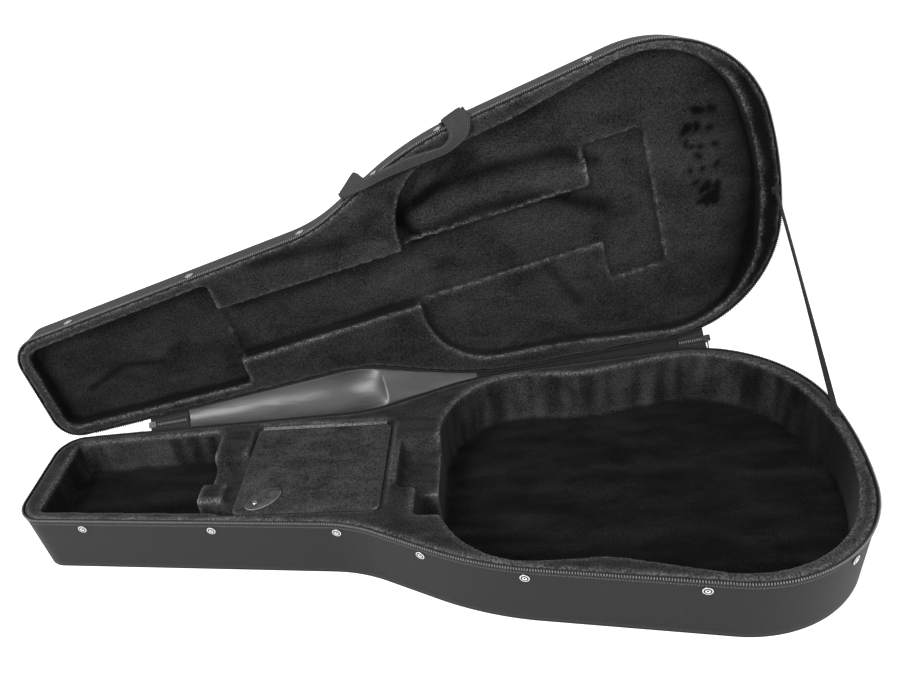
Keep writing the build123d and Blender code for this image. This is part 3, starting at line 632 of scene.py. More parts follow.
def lining(half, names, material, voxel=3.6 * mm, rounds=4, pull=0.5):
    """Soft skin over the foam of one half, kept clear of its cover."""
    piece = link(f"{half.name}_plush_lining_soft", joined_nodes(names), material)
    mesh = reskinned(piece, voxel).data
    co = numbers(mesh.vertices, "co", 3)
    averaged = averager(mesh)
    for _ in range(rounds):
        co += (averaged(co) - co) * pull
    closed = dented(half, kept_inside(half, turned(co, half.matrix.inverted())))
    mesh.vertices.foreach_set("co", turned(closed, half.matrix).ravel())
    mesh.update()
    paint_pile_light(piece, base_nap_and_shade if half is base else lid_nap_and_shade)
    if half is lid:
        nap = mesh.attributes["nap"].data
        values = numbers(nap, "value", 1, np.float32)[:, 0]
        nap.foreach_set("value", np.clip(values + mark_depth * marked(closed, 2), 0.08, 1.4))
    return piece


for half, foam, material in ((base, ("wall", "foam", "block", "pad", "plush"), base_plush),
                             (lid, ("wall", "foam", "filler", "pad", "plush"), lid_plush)):
    names = [name for name in frame["record"]["behaviour"]["bodies"][half.name]
             if any(word in name for word in foam)]
    piece = lining(half, names, material)
    dress(piece, half.name, "plush", *names)
    print(piece.name, len(piece.data.polygons), "faces from", len(names), "nodes")

# %% [markdown]
# ## The woven cover
# Each half is covered with one band of cloth round its wall and one flat panel, sewn together
# over a piping cord. Both are made from rows along the outline and then thickened inwards.


# %% Wall covers and panel covers
def ring_uvs(rows):
    """UVs in metres: along the outline, and across the rows."""
    across = np.linalg.norm(np.diff(rows, axis=0), axis=2).mean(axis=1)
    down = np.concatenate([[0], np.cumsum(across)])
    return [np.column_stack([rim.distance, np.full(rim.count, v)]) for v in down]


def panel_rows(half, rings=16):
    """Rows of the panel, from the piping in to the middle line of the case."""
    middle = np.clip(rim.points[:, 0], head_x + 0.06, tail_x - 0.2)
    middle = np.column_stack([middle, np.zeros(rim.count)])
    edge = rim.points - rim.normals * half.inset(half.height)
    z = np.full(rim.count, half.rim_z + half.direction * half.height)
    rows = [half.ring(rim, half.height - panel_bevel / 2)]
    for k in range(rings + 1):
        flat = edge + (middle - edge) * (k / rings)
        rows.append(turned(np.column_stack([flat, z]), half.matrix))
    return rows, [turned(row, half.matrix.inverted())[:, :2] for row in rows]


cover_thickness = 1.0 * mm
for half in (base, lid):
    seam = half.height - panel_bevel / 2
    # The wall starts at the inner edge of the rim
    rows = [half.ring(rim, 0.05 * mm, -1.6 * mm), half.ring(rim, 0.0, -0.5 * mm)]
    rows += [half.ring(rim, depth)
             for depth in (*np.linspace(0.6 * mm, half.height - panel_bevel, 14), seam)]
    wall = surface(f"{half.name}_wall_cloth", rows, ring_uvs(rows), cover_cloth)
    panel = surface(f"{half.name}_panel_cloth", *panel_rows(half), cover_cloth)
    for piece, cad in ((wall, "outer_cover"), (panel, "panel_cover")):
        dress(thicken(piece, cover_thickness), half.name, "woven_cover", f"{half.name}_{cad}")
    print(half.name, "cover", len(wall.data.polygons) + len(panel.data.polygons), "faces")

# %% [markdown]
# ## Strips, cords and straps
# Tape, piping, webbing and leather edges are all one thing: a small section carried along a
# path. The helper takes the path, a direction across the strip and a direction out of it, so
# a tape can lie on a drafted wall and a strap can twist on its way.


# %% A section carried along a path
def carried(name, path, across, out, section, material, closed=False):
    """A closed section, given in (across, out), carried along a path and capped."""
    section = np.asarray([*section, section[0]], float)
    rows = [path + across * a + out * b for a, b in section]
    if closed:
        rows = [np.vstack([row, row[:1]]) for row in rows]
        path = np.vstack([path, path[:1]])
    walked = distances(path)
    uvs = [np.column_stack([walked, np.full(len(path), v)]) for v in distances(section)]
    piece = surface(name, rows, uvs, material)
    return piece if closed else capped(piece)


def round_section(radius, count=10):
    """Points round a circle."""
    angles = [2 * math.pi * k / count for k in range(count)]
    return [(radius * math.cos(a), radius * math.sin(a)) for a in angles]


def flat_section(width, thickness, sink=0.15 * mm, start=0.0):
    """Section of a tape that starts at its upper edge and sits a little in the wall."""
    edge = min(0.25 * mm, thickness / 3)
    points = [
        (0, -sink), (width, -sink), (width, thickness - edge), (width - edge, thickness),
        (edge, thickness), (0, thickness - edge),
    ]
    return [(a + start, b) for a, b in points]


def plain_section(half_width, half_thickness):
    """A rectangle round the path."""
    w, t = half_width, half_thickness
    return [(-w, -t), (w, -t), (w, t), (-w, t)]


def stretch(outline, x_min, x_max):
    """Indices along the outline that leave out the hinge side between two stations."""
    x, y = outline.points.T
    outside = ~((y > 0) & (x > x_min) & (x < x_max))
    start = int(np.argmin(outside))
    first = start + int(np.argmax(outside[start:]))
    order = np.roll(np.arange(outline.count), -first)
    order = order[outside[order]]
    return order[order != 0]


def wall_frame(half, outline, depth, order):
    """Points on the wall at a depth, with directions along, across and out of it."""
    points = half.ring(outline, depth)
    across = unit(half.ring(outline, depth + 1 * mm) - points)
    out = half.outward(outline)
    along = np.cross(out, across)
    return points[order], along[order], across[order], out[order]


print("a tape has", len(flat_section(6 * mm, 1 * mm)), "corners and a cord",
      len(round_section(2 * mm)))

# %% [markdown]
# ## Piping and zipper tape
# A cord is sewn into the seam at each panel. At each rim a woven tape carries half of the
# zipper. It stops at the hinge, where plain binding takes its place.

# %% Piping, tape and binding
zip_left_end, zip_right_end = tail_x - 904 * mm, tail_x - 171 * mm
piping_cloth = weave("piping cloth", (0.002, 0.002, 0.0025), (0.012, 0.012, 0.013), 0.7 * mm)
tape_cloth = weave("zipper tape", (0.004, 0.004, 0.0042), (0.022, 0.022, 0.023), 0.9 * mm,
                   sheen=0.05)
piping_radius, tape_size, binding_size = 1.9 * mm, (5.8 * mm, 0.8 * mm), (9.8 * mm, 0.7 * mm)
whole = np.arange(rim.count - 1)
tape_way = stretch(rim, zip_left_end, zip_right_end)
x, y = rim.points.T
hinge_way = np.flatnonzero((y > 0) & (x > zip_left_end) & (x < zip_right_end))
for half in (base, lid):
    seam = half.height - panel_bevel / 2
    for name, depth, way, section, cloth, closed, cad, slot in (
        ("piping_cord", seam, whole, round_section(piping_radius), piping_cloth, True,
         "piping", "piping"),
        ("zipper_tape_cloth", 3.2 * mm, tape_way, flat_section(*tape_size),
         tape_cloth, False, "zipper_tape", "webbing"),
        ("hinge_binding", 0.2 * mm, hinge_way, flat_section(*binding_size),
         binding_cloth, False, "hinge_strip", "edge_cloth"),
    ):
        points, along, across, out = wall_frame(half, rim, depth, way)
        made = carried(f"{half.name}_{name}", points, across, out, section, cloth, closed)
        dress(made, half.name, slot, f"{half.name}_{cad}")
    print(half.name, "tape", round(len(tape_way) * rim_step, 2), "m")

# %% [markdown]
# ## Stamps along a seam
# Teeth, stitches and rivets repeat. One Geometry Nodes tree sets a small stamp at every
# point of a path, turned by two stored directions, with a little change of size from a fixed
# seed. The stamps become real mesh at the end, because an instance is lost in an export.


# %% The tree that stamps
def stamp_tree():
    """Sets an object at each point, with named inputs for size, change, seed and finish."""
    tree = bpy.data.node_groups.new("stamps along a seam", "GeometryNodeTree")
    for name, kind in (("Geometry", "Geometry"), ("Stamp", "Object"), ("Size", "Vector"),
                       ("Change", "Float"), ("Seed", "Int"), ("Finish", "Material")):
        tree.interface.new_socket(name, in_out="INPUT", socket_type=f"NodeSocket{kind}")
    tree.interface.new_socket("Geometry", in_out="OUTPUT", socket_type="NodeSocketGeometry")
    given = node(tree, "NodeGroupInput").outputs
    out, along = (node(tree, "GeometryNodeInputNamedAttribute", {"Name": name},
                       data_type="FLOAT_VECTOR").outputs["Attribute"]
                  for name in ("out", "along"))
    turn = node(tree, "FunctionNodeAxesToRotation", {0: out, 1: along},
                primary_axis="Z", secondary_axis="X").outputs[0]
    stamp = node(tree, "GeometryNodeObjectInfo", {"Object": given["Stamp"]})
    low, high = (maths(tree, way, 1.0, given["Change"]) for way in ("SUBTRACT", "ADD"))
    chance = node(tree, "FunctionNodeRandomValue", {2: low, 3: high, "Seed": given["Seed"]})
    scale = node(tree, "ShaderNodeVectorMath",
                 {0: given["Size"], "Scale": chance.outputs[1]}, operation="SCALE")
    placed = node(tree, "GeometryNodeInstanceOnPoints", {
        "Points": given["Geometry"], "Instance": stamp.outputs["Geometry"],
        "Rotation": turn, "Scale": scale.outputs["Vector"]}).outputs["Instances"]
    real = node(tree, "GeometryNodeRealizeInstances", {0: placed}).outputs[0]
    finish = node(tree, "GeometryNodeSetMaterial",
                  {"Geometry": real, "Material": given["Finish"]})
    node(tree, "NodeGroupOutput", {0: finish.outputs[0]})
    return tree


stamps = stamp_tree()


def stamped(name, points, along, out, stamp, size, material, change=0.0, seed=1):
    """One mesh of a stamp set at each point and turned along the path."""
    mesh = bpy.data.meshes.new(name)
    mesh.from_pydata(np.asarray(points).tolist(), [], [])
    for key, values in (("along", along), ("out", out)):
        stored = mesh.attributes.new(key, "FLOAT_VECTOR", "POINT")
        rows = np.broadcast_to(np.asarray(values, np.float32), (len(points), 3))
        stored.data.foreach_set("vector", rows.ravel())
    piece = link(name, mesh)
    modifier = piece.modifiers.new("stamps", "NODES")
    modifier.node_group = stamps
    sockets = {item.name: item.identifier for item in stamps.interface.items_tree
               if item.in_out == "INPUT"}
    for key, value in (("Stamp", stamp), ("Size", size), ("Change", change),
                       ("Seed", seed), ("Finish", material)):
        modifier[sockets[key]] = value
    settle(piece)
    for key in ("along", "out"):
        if key in piece.data.attributes:
            piece.data.attributes.remove(piece.data.attributes[key])
    return piece


def bead(name, segments, rings=4):
    """A small round stamp, one unit across."""
    mesh = bpy.data.meshes.new(name)
    with editing(mesh) as work:
        bmesh.ops.create_uvsphere(work, u_segments=segments, v_segments=rings, radius=0.5)
        for face in work.faces:
            face.smooth = True
    return link(name, mesh)


def lathed(name, profile, segments=24):
    """A round stamp turned from a profile of (radius, height)."""
    angles = np.linspace(0, 2 * math.pi, segments + 1)
    rows = [[(r * math.cos(a), r * math.sin(a), z) for a in angles] for r, z in profile]
    uvs = [[(a, r) for a in angles] for r, _ in profile]
    return surface(name, rows, uvs, None, merge=1e-7)


tooth_stamp, stitch_stamp = bead("tooth stamp", 8), bead("stitch stamp", 6)
print("tree of", len(stamps.nodes), "nodes")

# %% [markdown]
# ## Teeth of the zipper
# A coarse coil zipper shows one small rounded loop every three millimetres. On a path of two
# and a half metres that is some six hundred loops for each half, so each one is a plain bead,
# drawn out across the tape.

# %% Coil teeth and seam stitches
nylon = grained("coil nylon", (0.16, 0.16, 0.163), 0.32, 1500.0, 0.1 * mm, specular=0.6)
thread = grained("black thread", (0.09, 0.09, 0.092), 0.55, 2500.0, 0.1 * mm, sheen=0.2)
coil_left, coil_right = tail_x - 973 * mm, tail_x - 123 * mm
gap_left, gap_right = tail_x - 1082 * mm, tail_x - 1050 * mm
tooth_pitch, stitch_pitch = 3.1 * mm, 3.6 * mm
tooth_depth, tooth_lift, tooth_change = 1.6 * mm, 0.9 * mm, 0.04
tooth_size = (1.7 * mm, 3.1 * mm, 2.6 * mm)
# Depth of each row of stitches, and how far it lies off the wall
seam_places = ((4.2 * mm, 0.85 * mm), (8.2 * mm, 0.85 * mm), (10.4 * mm, 0.05 * mm))
tooth_path, stitch_path = Outline(full_path, tooth_pitch), Outline(full_path, stitch_pitch)
for half in (base, lid):
    way = stretch(tooth_path, coil_left, coil_right)
    tx, ty = tooth_path.points[way].T
    way = way[~((ty > 0) & (tx > gap_left) & (tx < gap_right))]
    points, along, across, out = wall_frame(half, tooth_path, tooth_depth, way)
    teeth = stamped(f"{half.name}_zipper_teeth", points + out * tooth_lift, along, out,
                    tooth_stamp, tooth_size, nylon, tooth_change, 3)
    dress(teeth, half.name, "zipper_coil", f"{half.name}_zipper_coil")
    way = stretch(stitch_path, zip_left_end, zip_right_end)
    rows = []
    for depth, lift in seam_places:
        points, along, across, out = wall_frame(half, stitch_path, depth, way)
        rows.append((points + out * lift, along, out))
    points, along, out = (np.vstack(column) for column in zip(*rows))
    seams = stamped(f"{half.name}_rim_stitches", points, along, out, stitch_stamp,
                    (2.7 * mm, 0.6 * mm, 0.5 * mm), thread, 0.1, 5)
    dress(seams, half.name, "webbing")
    print(half.name, len(teeth.data.polygons), "faces of teeth")

# %% [markdown]
# ## Rivets
# Seven rivets on each side hold the wall boards. Each has a rolled rim, a dished ring and a
# dimple in its middle. The CAD says where each one sits, so the stamp is set at the middle
# of each of its solids.

# %% Rivets
satin_metal = grained("satin nickel", (0.62, 0.62, 0.63), 0.28, 400.0, 0.05 * mm,
                      ((0.3, 0.3, 0.31), (0.5, 0.5, 0.51), 0.3, 0.7), 3.0, metallic=1.0)
# Painted reflection and shade: the nickel is dark in the dimple and the dished ring and bright on the crown and
# the rolled rim
rivet_reflections = satin_metal.copy()
rivet_reflections.name = "rivet nickel"
rivet_radius = 6.0
across_rivet = node(rivet_reflections, "ShaderNodeAttribute", attribute_name="cloth").outputs["Vector"]
radius = node(rivet_reflections, "ShaderNodeSeparateXYZ", {0: across_rivet}).outputs["Y"]
ring_reflections = node(rivet_reflections, "ShaderNodeValToRGB",
                 {"Fac": remapped(rivet_reflections, radius, 0.0, rivet_radius, 0.0, 1.0)})
stops = ring_reflections.color_ramp.elements
for place, level in ((0, 0.02), (1, 0.05), (0.2, 0.03), (0.3, 0.75), (0.42, 0.75),
                     (0.5, 0.03), (0.74, 0.03), (0.84, 0.8), (0.94, 0.6)):
    # The ramp has its first and its last stop already
    stop = stops[place] if place in (0, 1) else stops.new(place)
    stop.color = (level, level, level, 1)
plug(rivet_reflections, ring_reflections.outputs["Color"], "Base Color")
rivet_stamp = lathed("rivet stamp", [
    (0.0, 0.95), (0.9, 0.95), (1.5, 1.1), (2.0, 1.7), (2.5, 1.75), (3.3, 1.25), (4.3, 1.2),
    (5.1, 1.55), (5.7, 1.35), (rivet_radius, 0.8), (rivet_radius, 0.0), (0.0, 0.0),
])


def islands(mesh):
    """Points of each separate solid of a CAD node."""
    work = bmesh.new()
    work.from_mesh(mesh)
    bmesh.ops.remove_doubles(work, verts=work.verts, dist=1e-6)
    seen, groups = set(), []
    for start in work.verts:
        if start in seen:
            continue
        seen.add(start)
        group, queue = [], [start]
        while queue:
            vertex = queue.pop()
            group.append(vertex.co.copy())
            others = [edge.other_vert(vertex) for edge in vertex.link_edges]
            queue += [other for other in others if other not in seen]
            seen.update(others)
        groups.append(np.array(group))
    work.free()
    return groups


for half in (base, lid):
    rows = []
    for group in islands(frame["nodes"][f"{half.name}_rivets"].data):
        middle = turned(group, half.matrix.inverted()).mean(axis=0)
        nearest = np.argmin(np.hypot(*(fine_rim.points - middle[:2]).T))
        depth = (middle[2] - half.rim_z) * half.direction
        points, along, across, out = wall_frame(half, fine_rim, depth, [nearest])
        face = np.cross(along[0], across[0])
        face = face if face @ out[0] > 0 else -face
        rows.append((points[0] + face * 0.05 * mm, along[0], face))
    made = stamped(f"{half.name}_rivet_heads", *(np.array(column) for column in zip(*rows)),
                   rivet_stamp, (mm, mm, mm), rivet_reflections)
    dress(made, half.name, "rivet_metal", f"{half.name}_rivets")
    print(half.name, len(rows), "rivets")

# %% [markdown]
# ## Cloth across the hinge
# The outline is hollow at the neck and the hinge line is straight, so the two rims part there
# by up to forty millimetres. A satin gusset fills the gap. Beyond it a narrow strip of binding
# holds the rims, and at both ends the closed zipper goes on for a little way. All of them start
# on the rim of the base, bow outwards and end on the rim of the lid.

# %% Rows of cloth across the hinge
cloth_angle = open_angle / 2
cloth_outward = hinge_out * math.cos(cloth_angle) - Vector((0, 0, math.sin(cloth_angle)))
cloth_depth = 4 * mm + rim_gap / 2


def hinge_cloth_rows(from_tail, thickness, bulge, steps, lift=0.0):
    """Rows of a sheet from rim to rim, its UVs, and how far across each row lies."""
    x_low, x_high = (tail_x - d * mm for d in from_tail)
    side = fine_rim.points[fine_rim.points[:, 1] > 0]
    side = side[np.argsort(side[:, 0])]
    way = np.linspace(x_low, x_high, int((x_high - x_low) / (2 * mm)) + 2)
    out = np.array(hinge_out) * (1.1 * mm + thickness / 2)
    plan = np.column_stack([way, np.interp(way, *side.T), np.full(len(way), hinge_point.z)])
    plan += out
    drop = np.array((0, 0, cloth_depth))
    low, high = plan - drop, turned(plan + drop, turn_open)
    chord = np.linalg.norm(high - low, axis=1)[:, None]
    control = (low + high) / 2 + np.array(cloth_outward) * chord * bulge * 2
    shares = np.linspace(0, 1, steps)
    rows = np.array([(1 - t) ** 2 * low + 2 * t * (1 - t) * control + t * t * high
                     for t in shares])
    rows += np.array(cloth_outward) * lift
    walked = (plan - plan[0]) @ np.array(hinge_along)
    arcs = np.linalg.norm(np.diff(rows, axis=0), axis=2)
    down = np.vstack([np.zeros(len(way)), np.cumsum(arcs, axis=0)])
    uvs = np.stack([np.tile(walked, (steps, 1)), down - down[-1] / 2], axis=2)
    return rows, uvs, shares


def across_hinge(piece, slot, *cad):
    """A piece between the rims, with its place written into its mesh, shown in place of its CAD nodes."""
    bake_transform(piece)
    if cad:
        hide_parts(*cad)


print("cloth starts", round(cloth_depth / mm, 1), "mm under the rims")

# %% [markdown]
# ## Gusset and binding strip
# The gusset is shiny satin, cut wider than the gap, so it has one sharp fold at the hollow of
# the neck and soft ripples beside it. The rows above are pushed inwards by the shape of that
# fold. The flat size of each sheet is measured along its own rows.

# %% Satin gusset and binding strip
satin = new_material("gusset satin", (0.1, 0.1, 0.1), 0.4, sheen=0.1, specular=0.6)
crease = speckle(satin, 16.0, 4.0, (1.0, 3.0, 3.0), Distortion=0.8)
satin_thread = speckle(satin, 1.0, 2.0, (300.0, 2500.0, 1.0), "UV")
# The colour follows the same soft creases as the bump: painted shade in their hollows and painted light on their
# crowns
shade(satin, crease, (0.019, 0.019, 0.019), (0.039, 0.039, 0.038), 0.25, 0.75)
raise_surface(satin, satin_thread, 0.03 * mm,
              before=raise_surface(satin, crease, 1.2 * mm, 0.6))

rows, uvs, shares = hinge_cloth_rows((905.0, 467.0), 0.6 * mm, 0.14, 21, 0.7 * mm)
fold_depth, fold_from_tail, fold_lean = 14 * mm, 598 * mm, 14 * mm
for k, share in enumerate(shares):
    # One sharp fold runs from rim to rim, with a soft hollow beside it
    away = rows[k, :, 0] - tail_x + fold_from_tail + fold_lean * share
    fold = np.where(away > 0, np.exp(-(away / (55 * mm)) ** 2), np.exp(away / (14 * mm)))
    fold -= 0.3 * np.exp(-((away + 48 * mm) / (30 * mm)) ** 2)
    slack = (4 * share * (1 - share)) ** 0.75
    ripple = np.array([noise.noise(Vector(p) * 22) for p in rows[k]]) * 0.8 * mm
    inward = fold * slack * fold_depth + ripple * slack
    rows[k] -= inward[:, None] * np.array(cloth_outward)
gusset = thicken(surface("hinge_gusset_cloth", rows, uvs, satin), 0.5 * mm, 0.0)
across_hinge(gusset, "gusset_cloth", "hinge_gusset")

rows, uvs, shares = hinge_cloth_rows((470.5, 171.5), 0.8 * mm, 0.1, 9)
strip = thicken(surface("hinge_flex_cloth", rows, uvs, binding_cloth), 0.7 * mm, 0.0)
across_hinge(strip, "edge_cloth", "hinge_flex_strip")

# %% [markdown]
# ## Closed ends of the zipper
# Past each slider the zipper is closed. There the two tapes are one strip with a single row of
# teeth along its middle and a seam along each rim, and it bows outwards across the gap.

# %% Closed ends of the zipper
for side, from_tail in (("left", (962.0, 902.0)), ("right", (172.0, 134.0))):
    rows, uvs, shares = hinge_cloth_rows(from_tail, 1.0 * mm, 0.05, 13)
    stub = thicken(surface(f"{side}_zip_stub_tape", rows, uvs, tape_cloth), 0.9 * mm, 0.0)
    across_hinge(stub, "webbing", f"{side}_zip_stub")
    walked = distances(rows[6])
    spots = resampled(np.arange(2 * mm, walked[-1] - 3 * mm, tooth_pitch), walked, rows[6])
    teeth = stamped(f"{side}_zip_stub_teeth", spots, hinge_along, cloth_outward, tooth_stamp,
                    (1.7 * mm, 5.4 * mm, 2.0 * mm), nylon, tooth_change, 7)
    across_hinge(teeth, "zipper_coil")
    edges = np.vstack([rows[3][::2], rows[9][::2]]) - np.array(cloth_outward) * 0.45 * mm
    seam = stamped(f"{side}_zip_stub_stitches", edges, hinge_along, -cloth_outward,
                   stitch_stamp, (1.7 * mm, 0.6 * mm, 0.5 * mm), thread, 0.1, 8)
    across_hinge(seam, "webbing")
    print(side, "stub", len(spots), "teeth")

# %% [markdown]
# ## The stay
# One narrow tape stops the lid. It is sewn to a small patch on each rim, it is taut, and it
# turns part of the way round, so from the front it is seen nearly edge on.


# %% Stay tape and its patches
def smooth_path(points, count):
    """A Catmull-Rom curve through points, in even shares of its knots."""
    points = np.asarray(points, float)
    padded = np.vstack([2 * points[0] - points[1], points, 2 * points[-1] - points[-2]])
    result = []
    for share in np.linspace(0, len(points) - 1, count):
        i = min(int(share), len(points) - 2)
        t = share - i
        p0, p1, p2, p3 = padded[i:i + 4]
        result.append(0.5 * (2 * p1 + (p2 - p0) * t + (2 * p0 - 5 * p1 + 4 * p2 - p3) * t ** 2
                             + (3 * p1 - p0 - 3 * p2 + p3) * t ** 3))
    return np.array(result)


stay_tape_cloth = weave("stay tape", (0.003, 0.003, 0.003), (0.016, 0.016, 0.017), 0.8 * mm,
                        sheen=0.04)
stay_low = Vector((539.691, 50.0, 100.6)) * mm
stay_high = Vector((504.098, 266.971, 316.73)) * mm
stay_width, stay_thickness, stay_twist = 7.6 * mm, 1.2 * mm, math.radians(38)
stay_line = stay_high - stay_low
stay_side = (hinge_along - stay_line * hinge_along.dot(stay_line) / stay_line.length_squared)
stay_side.normalize()
stay_front = stay_line.normalized().cross(stay_side)
shares = np.linspace(0, 1, 70)
# It sags a little to the side and down
bow = [stay_side * 1.6 * mm * math.sin(math.pi * s) - Vector((0, 0, 3.2 * mm))
       * math.sin(math.pi * s) * (1 - 0.4 * s) for s in shares]
path = np.array([stay_low + stay_line * (0.006 + 0.988 * s) + b for s, b in zip(shares, bow)])
twist = [stay_twist * (3 * s * s - 2 * s ** 3) for s in np.clip(shares * 1.6, 0, 1)]
across = np.array([stay_side * math.cos(a) + stay_front * math.sin(a) for a in twist])
face = np.array([stay_front * math.cos(a) - stay_side * math.sin(a) for a in twist])
section = flat_section(stay_width, stay_thickness, 0.0, -stay_width / 2)
stay = carried("stay_tape_cloth", path, across, face,
               [(a, b - 0.55 * mm) for a, b in section], stay_tape_cloth)
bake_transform(stay)
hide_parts("stay_tape")
patch_length, patch_width = 11.5 * mm, 10.5 * mm
for half, place in ((base, stay_low), (lid, stay_high)):
    turn = np.array(half.matrix)[:3, :3]
    up = turn @ np.array((0, 0, -half.direction))
    path = np.array([place + Vector(turn[:, 0]) * s * patch_length
                     for s in (-0.5, -0.48, -0.45, 0.45, 0.48, 0.5)]) - up * 0.55 * mm
    patch = carried(f"stay_{half.name}_patch_cloth", path, turn[:, 1], up,
                    flat_section(patch_width, 0.6 * mm, start=-patch_width / 2), binding_cloth)
    dress(patch, half.name, "webbing", f"stay_{half.name}_patch")
print("stay", round(stay_line.length, 3), "m")

# %% [markdown]
# ## The flap of the accessory box
# The flap is a thin board in plush. The plush is glued only at the edges of the board, so it
# puffs a little. A short cloth simulation blows it up from inside, and each point is held to
# one millimetre of travel. A strip of the same plush is its hinge.


# %% Flap and its hinge cloth
def rounded_rectangle(low, high, radius, corner_steps=6):
    """Points round a rectangle with round corners, counter-clockwise."""
    points = []
    for cx, cy, start in ((high[0] - radius, high[1] - radius, 0),
                          (low[0] + radius, high[1] - radius, 90),
                          (low[0] + radius, low[1] + radius, 180),
                          (high[0] - radius, low[1] + radius, 270)):
        for k in range(corner_steps + 1):
            a = math.radians(start + 90 * k / corner_steps)
            points.append((cx + radius * math.cos(a), cy + radius * math.sin(a)))
    return points


def puffed(piece, pressure, cap, frames=20):
    """Blows a closed mesh up with cloth pressure and caps how far each point moves."""
    before = numbers(piece.data.vertices, "co", 3)
    cloth = piece.modifiers.new("cloth", "CLOTH")
    cloth.settings.use_pressure = True
    cloth.settings.uniform_pressure_force = pressure
    cloth.settings.effector_weights.gravity = 0.0
    cloth.settings.quality = 5
    for number in range(1, frames + 1):
        bpy.context.scene.frame_set(number)
    settle(piece)
    bpy.context.scene.frame_set(1)
    moved = numbers(piece.data.vertices, "co", 3) - before
    travel = np.linalg.norm(moved, axis=1)[:, None]
    moved *= np.minimum(1.0, cap / np.maximum(travel, 1e-9))
    piece.data.vertices.foreach_set("co", (before + moved).ravel())
    piece.data.update()
    return float(travel.max())


def flap_nap_and_shade(point, normal):
    """Pile of the flap, brushed flat, with painted light that makes it pale."""
    return 1.35 + 0.3 * noise.noise(Vector(point) * 40)


flap_low, flap_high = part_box("box_lid_plush")
board_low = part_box("box_lid_board")[0]
soft, puff_cap = 1.0 * mm, 1.0 * mm
ring = rounded_rectangle((flap_low.x + soft, flap_low.y + soft),
                         (flap_high.x - soft, flap_high.y - soft), 8 * mm)
rows = [[(x, y, z) for x, y in ring + ring[:1]]
        for z in (board_low.z + 0.6 * mm, flap_high.z - soft)]
flap = capped(surface("box_lid_padding", rows, np.array(rows)[:, :, :2], base_plush))
reskinned(flap, 2.6 * mm)
print("flap puffed", round(puffed(flap, 4.0, puff_cap) / mm, 1), "mm before its cap")
finer = flap.modifiers.new("finer", "SUBSURF")
finer.levels = finer.render_levels = 1
settle(flap)
paint_pile_light(flap, flap_nap_and_shade, 0.04, 0.2)
dress(flap, "box_lid", "plush", "box_lid_board", "box_lid_plush")

profile = [(88.2, 91.2), (88.2, 94.0), (88.1, 96.0), (87.7, 97.1), (86.6, 97.6), (84.0, 97.7),
           (80.5, 97.6)]
line = smooth_path([(0, y * mm, z * mm) for y, z in profile], 25)
outward = np.cross(unit(np.gradient(line, axis=0)), (1.0, 0, 0))
line[:, 0] = (flap_low.x + flap_high.x) / 2
half_width = (flap_high.x - flap_low.x) / 2 - 9 * mm
strip = carried("box_lid_hinge_cloth", line, np.array((1.0, 0, 0)), outward,
                plain_section(half_width, 0.25 * mm), base_plush)
paint_pile_light(strip, flap_nap_and_shade)
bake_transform(strip)
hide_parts("box_lid_hinge_tape")
print("flap", len(flap.data.polygons), "faces")

# %% [markdown]
# ## The leather tab
# The tab is an oval of leather with a groove pressed in beside its edge. It is made from rings
# that go up its side and in over its top. Leather is black on its face only, and the cut edge
# is paler, so the faces of the side get a finish of their own.

# %% Leather tab
leather = new_material("leather", (0.03, 0.03, 0.031), 0.42, specular=0.5)
pores = node(
    leather, "ShaderNodeTexVoronoi",
    {"Vector": coordinates(leather, "Object", (1, 1, 1)), "Scale": 1100.0, "Randomness": 1.0},
    feature="F1",
).outputs["Distance"]
shade(leather, speckle(leather, 140.0, 4.0), (0.012, 0.012, 0.012), (0.06, 0.058, 0.056),
      0.3, 0.75)
raise_surface(leather, pores, 0.12 * mm)
raw_edge = grained("cut edge of leather", (0.3, 0.3, 0.3), 0.6, 900.0, 0.1 * mm,
                   ((0.14, 0.14, 0.14), (0.34, 0.34, 0.33), 0.3, 0.7), 3.0, specular=0.3)

tab_turn = (Matrix.Translation(Vector(joints["tab_swivel"]["pos_m"]))
            @ Matrix.Rotation(math.radians(39), 4, "Z"))
tab_middle, tab_half_length, tab_half_width = 12.0, 26, 15.0
angles = np.linspace(0, 2 * math.pi, 73)
rows = []
for edge, z in ((3.0, 0.0), (0.55, 0.0), (0.0, 0.25), (0.0, 1.3), (0.3, 1.65), (1.2, 1.75),
                (2.2, 1.8), (2.5, 1.62), (2.9, 1.62), (3.2, 1.8), (6.5, 1.8)):
    rows.append(np.column_stack([
        tab_middle + (tab_half_length - edge) * np.cos(angles),
        (tab_half_width - edge) * np.sin(angles), np.full(len(angles), z)]) * mm)
tab = capped(surface("pull_tab_leather", [turned(row, tab_turn) for row in rows],
                     [row[:, :2] for row in rows], leather))
tab.data.materials.append(raw_edge)
for polygon in tab.data.polygons:
    polygon.material_index = int(abs(polygon.normal.z) < 0.75)
dress(tab, "tab", "leather", "pull_tab")
print("tab", len(tab.data.polygons), "faces")

# %% [markdown]
# ## The carrying handle
# The handle is one length of webbing, folded and sewn into a grip between two broad ends. Two
# edge lines describe it, in a frame that has its origin midway between the pivots: along the
# wall, out over the rim and down.

# %% Handle strap
handle_frame = Matrix((
    (0.88098, 0.17900, 0.43799), (0.19370, -0.98102, 0.00885), (0.43134, 0.07706, -0.89889),
)).transposed().to_4x4()
handle_frame.translation = Vector((9.629, 215.15, 446.791)) * mm
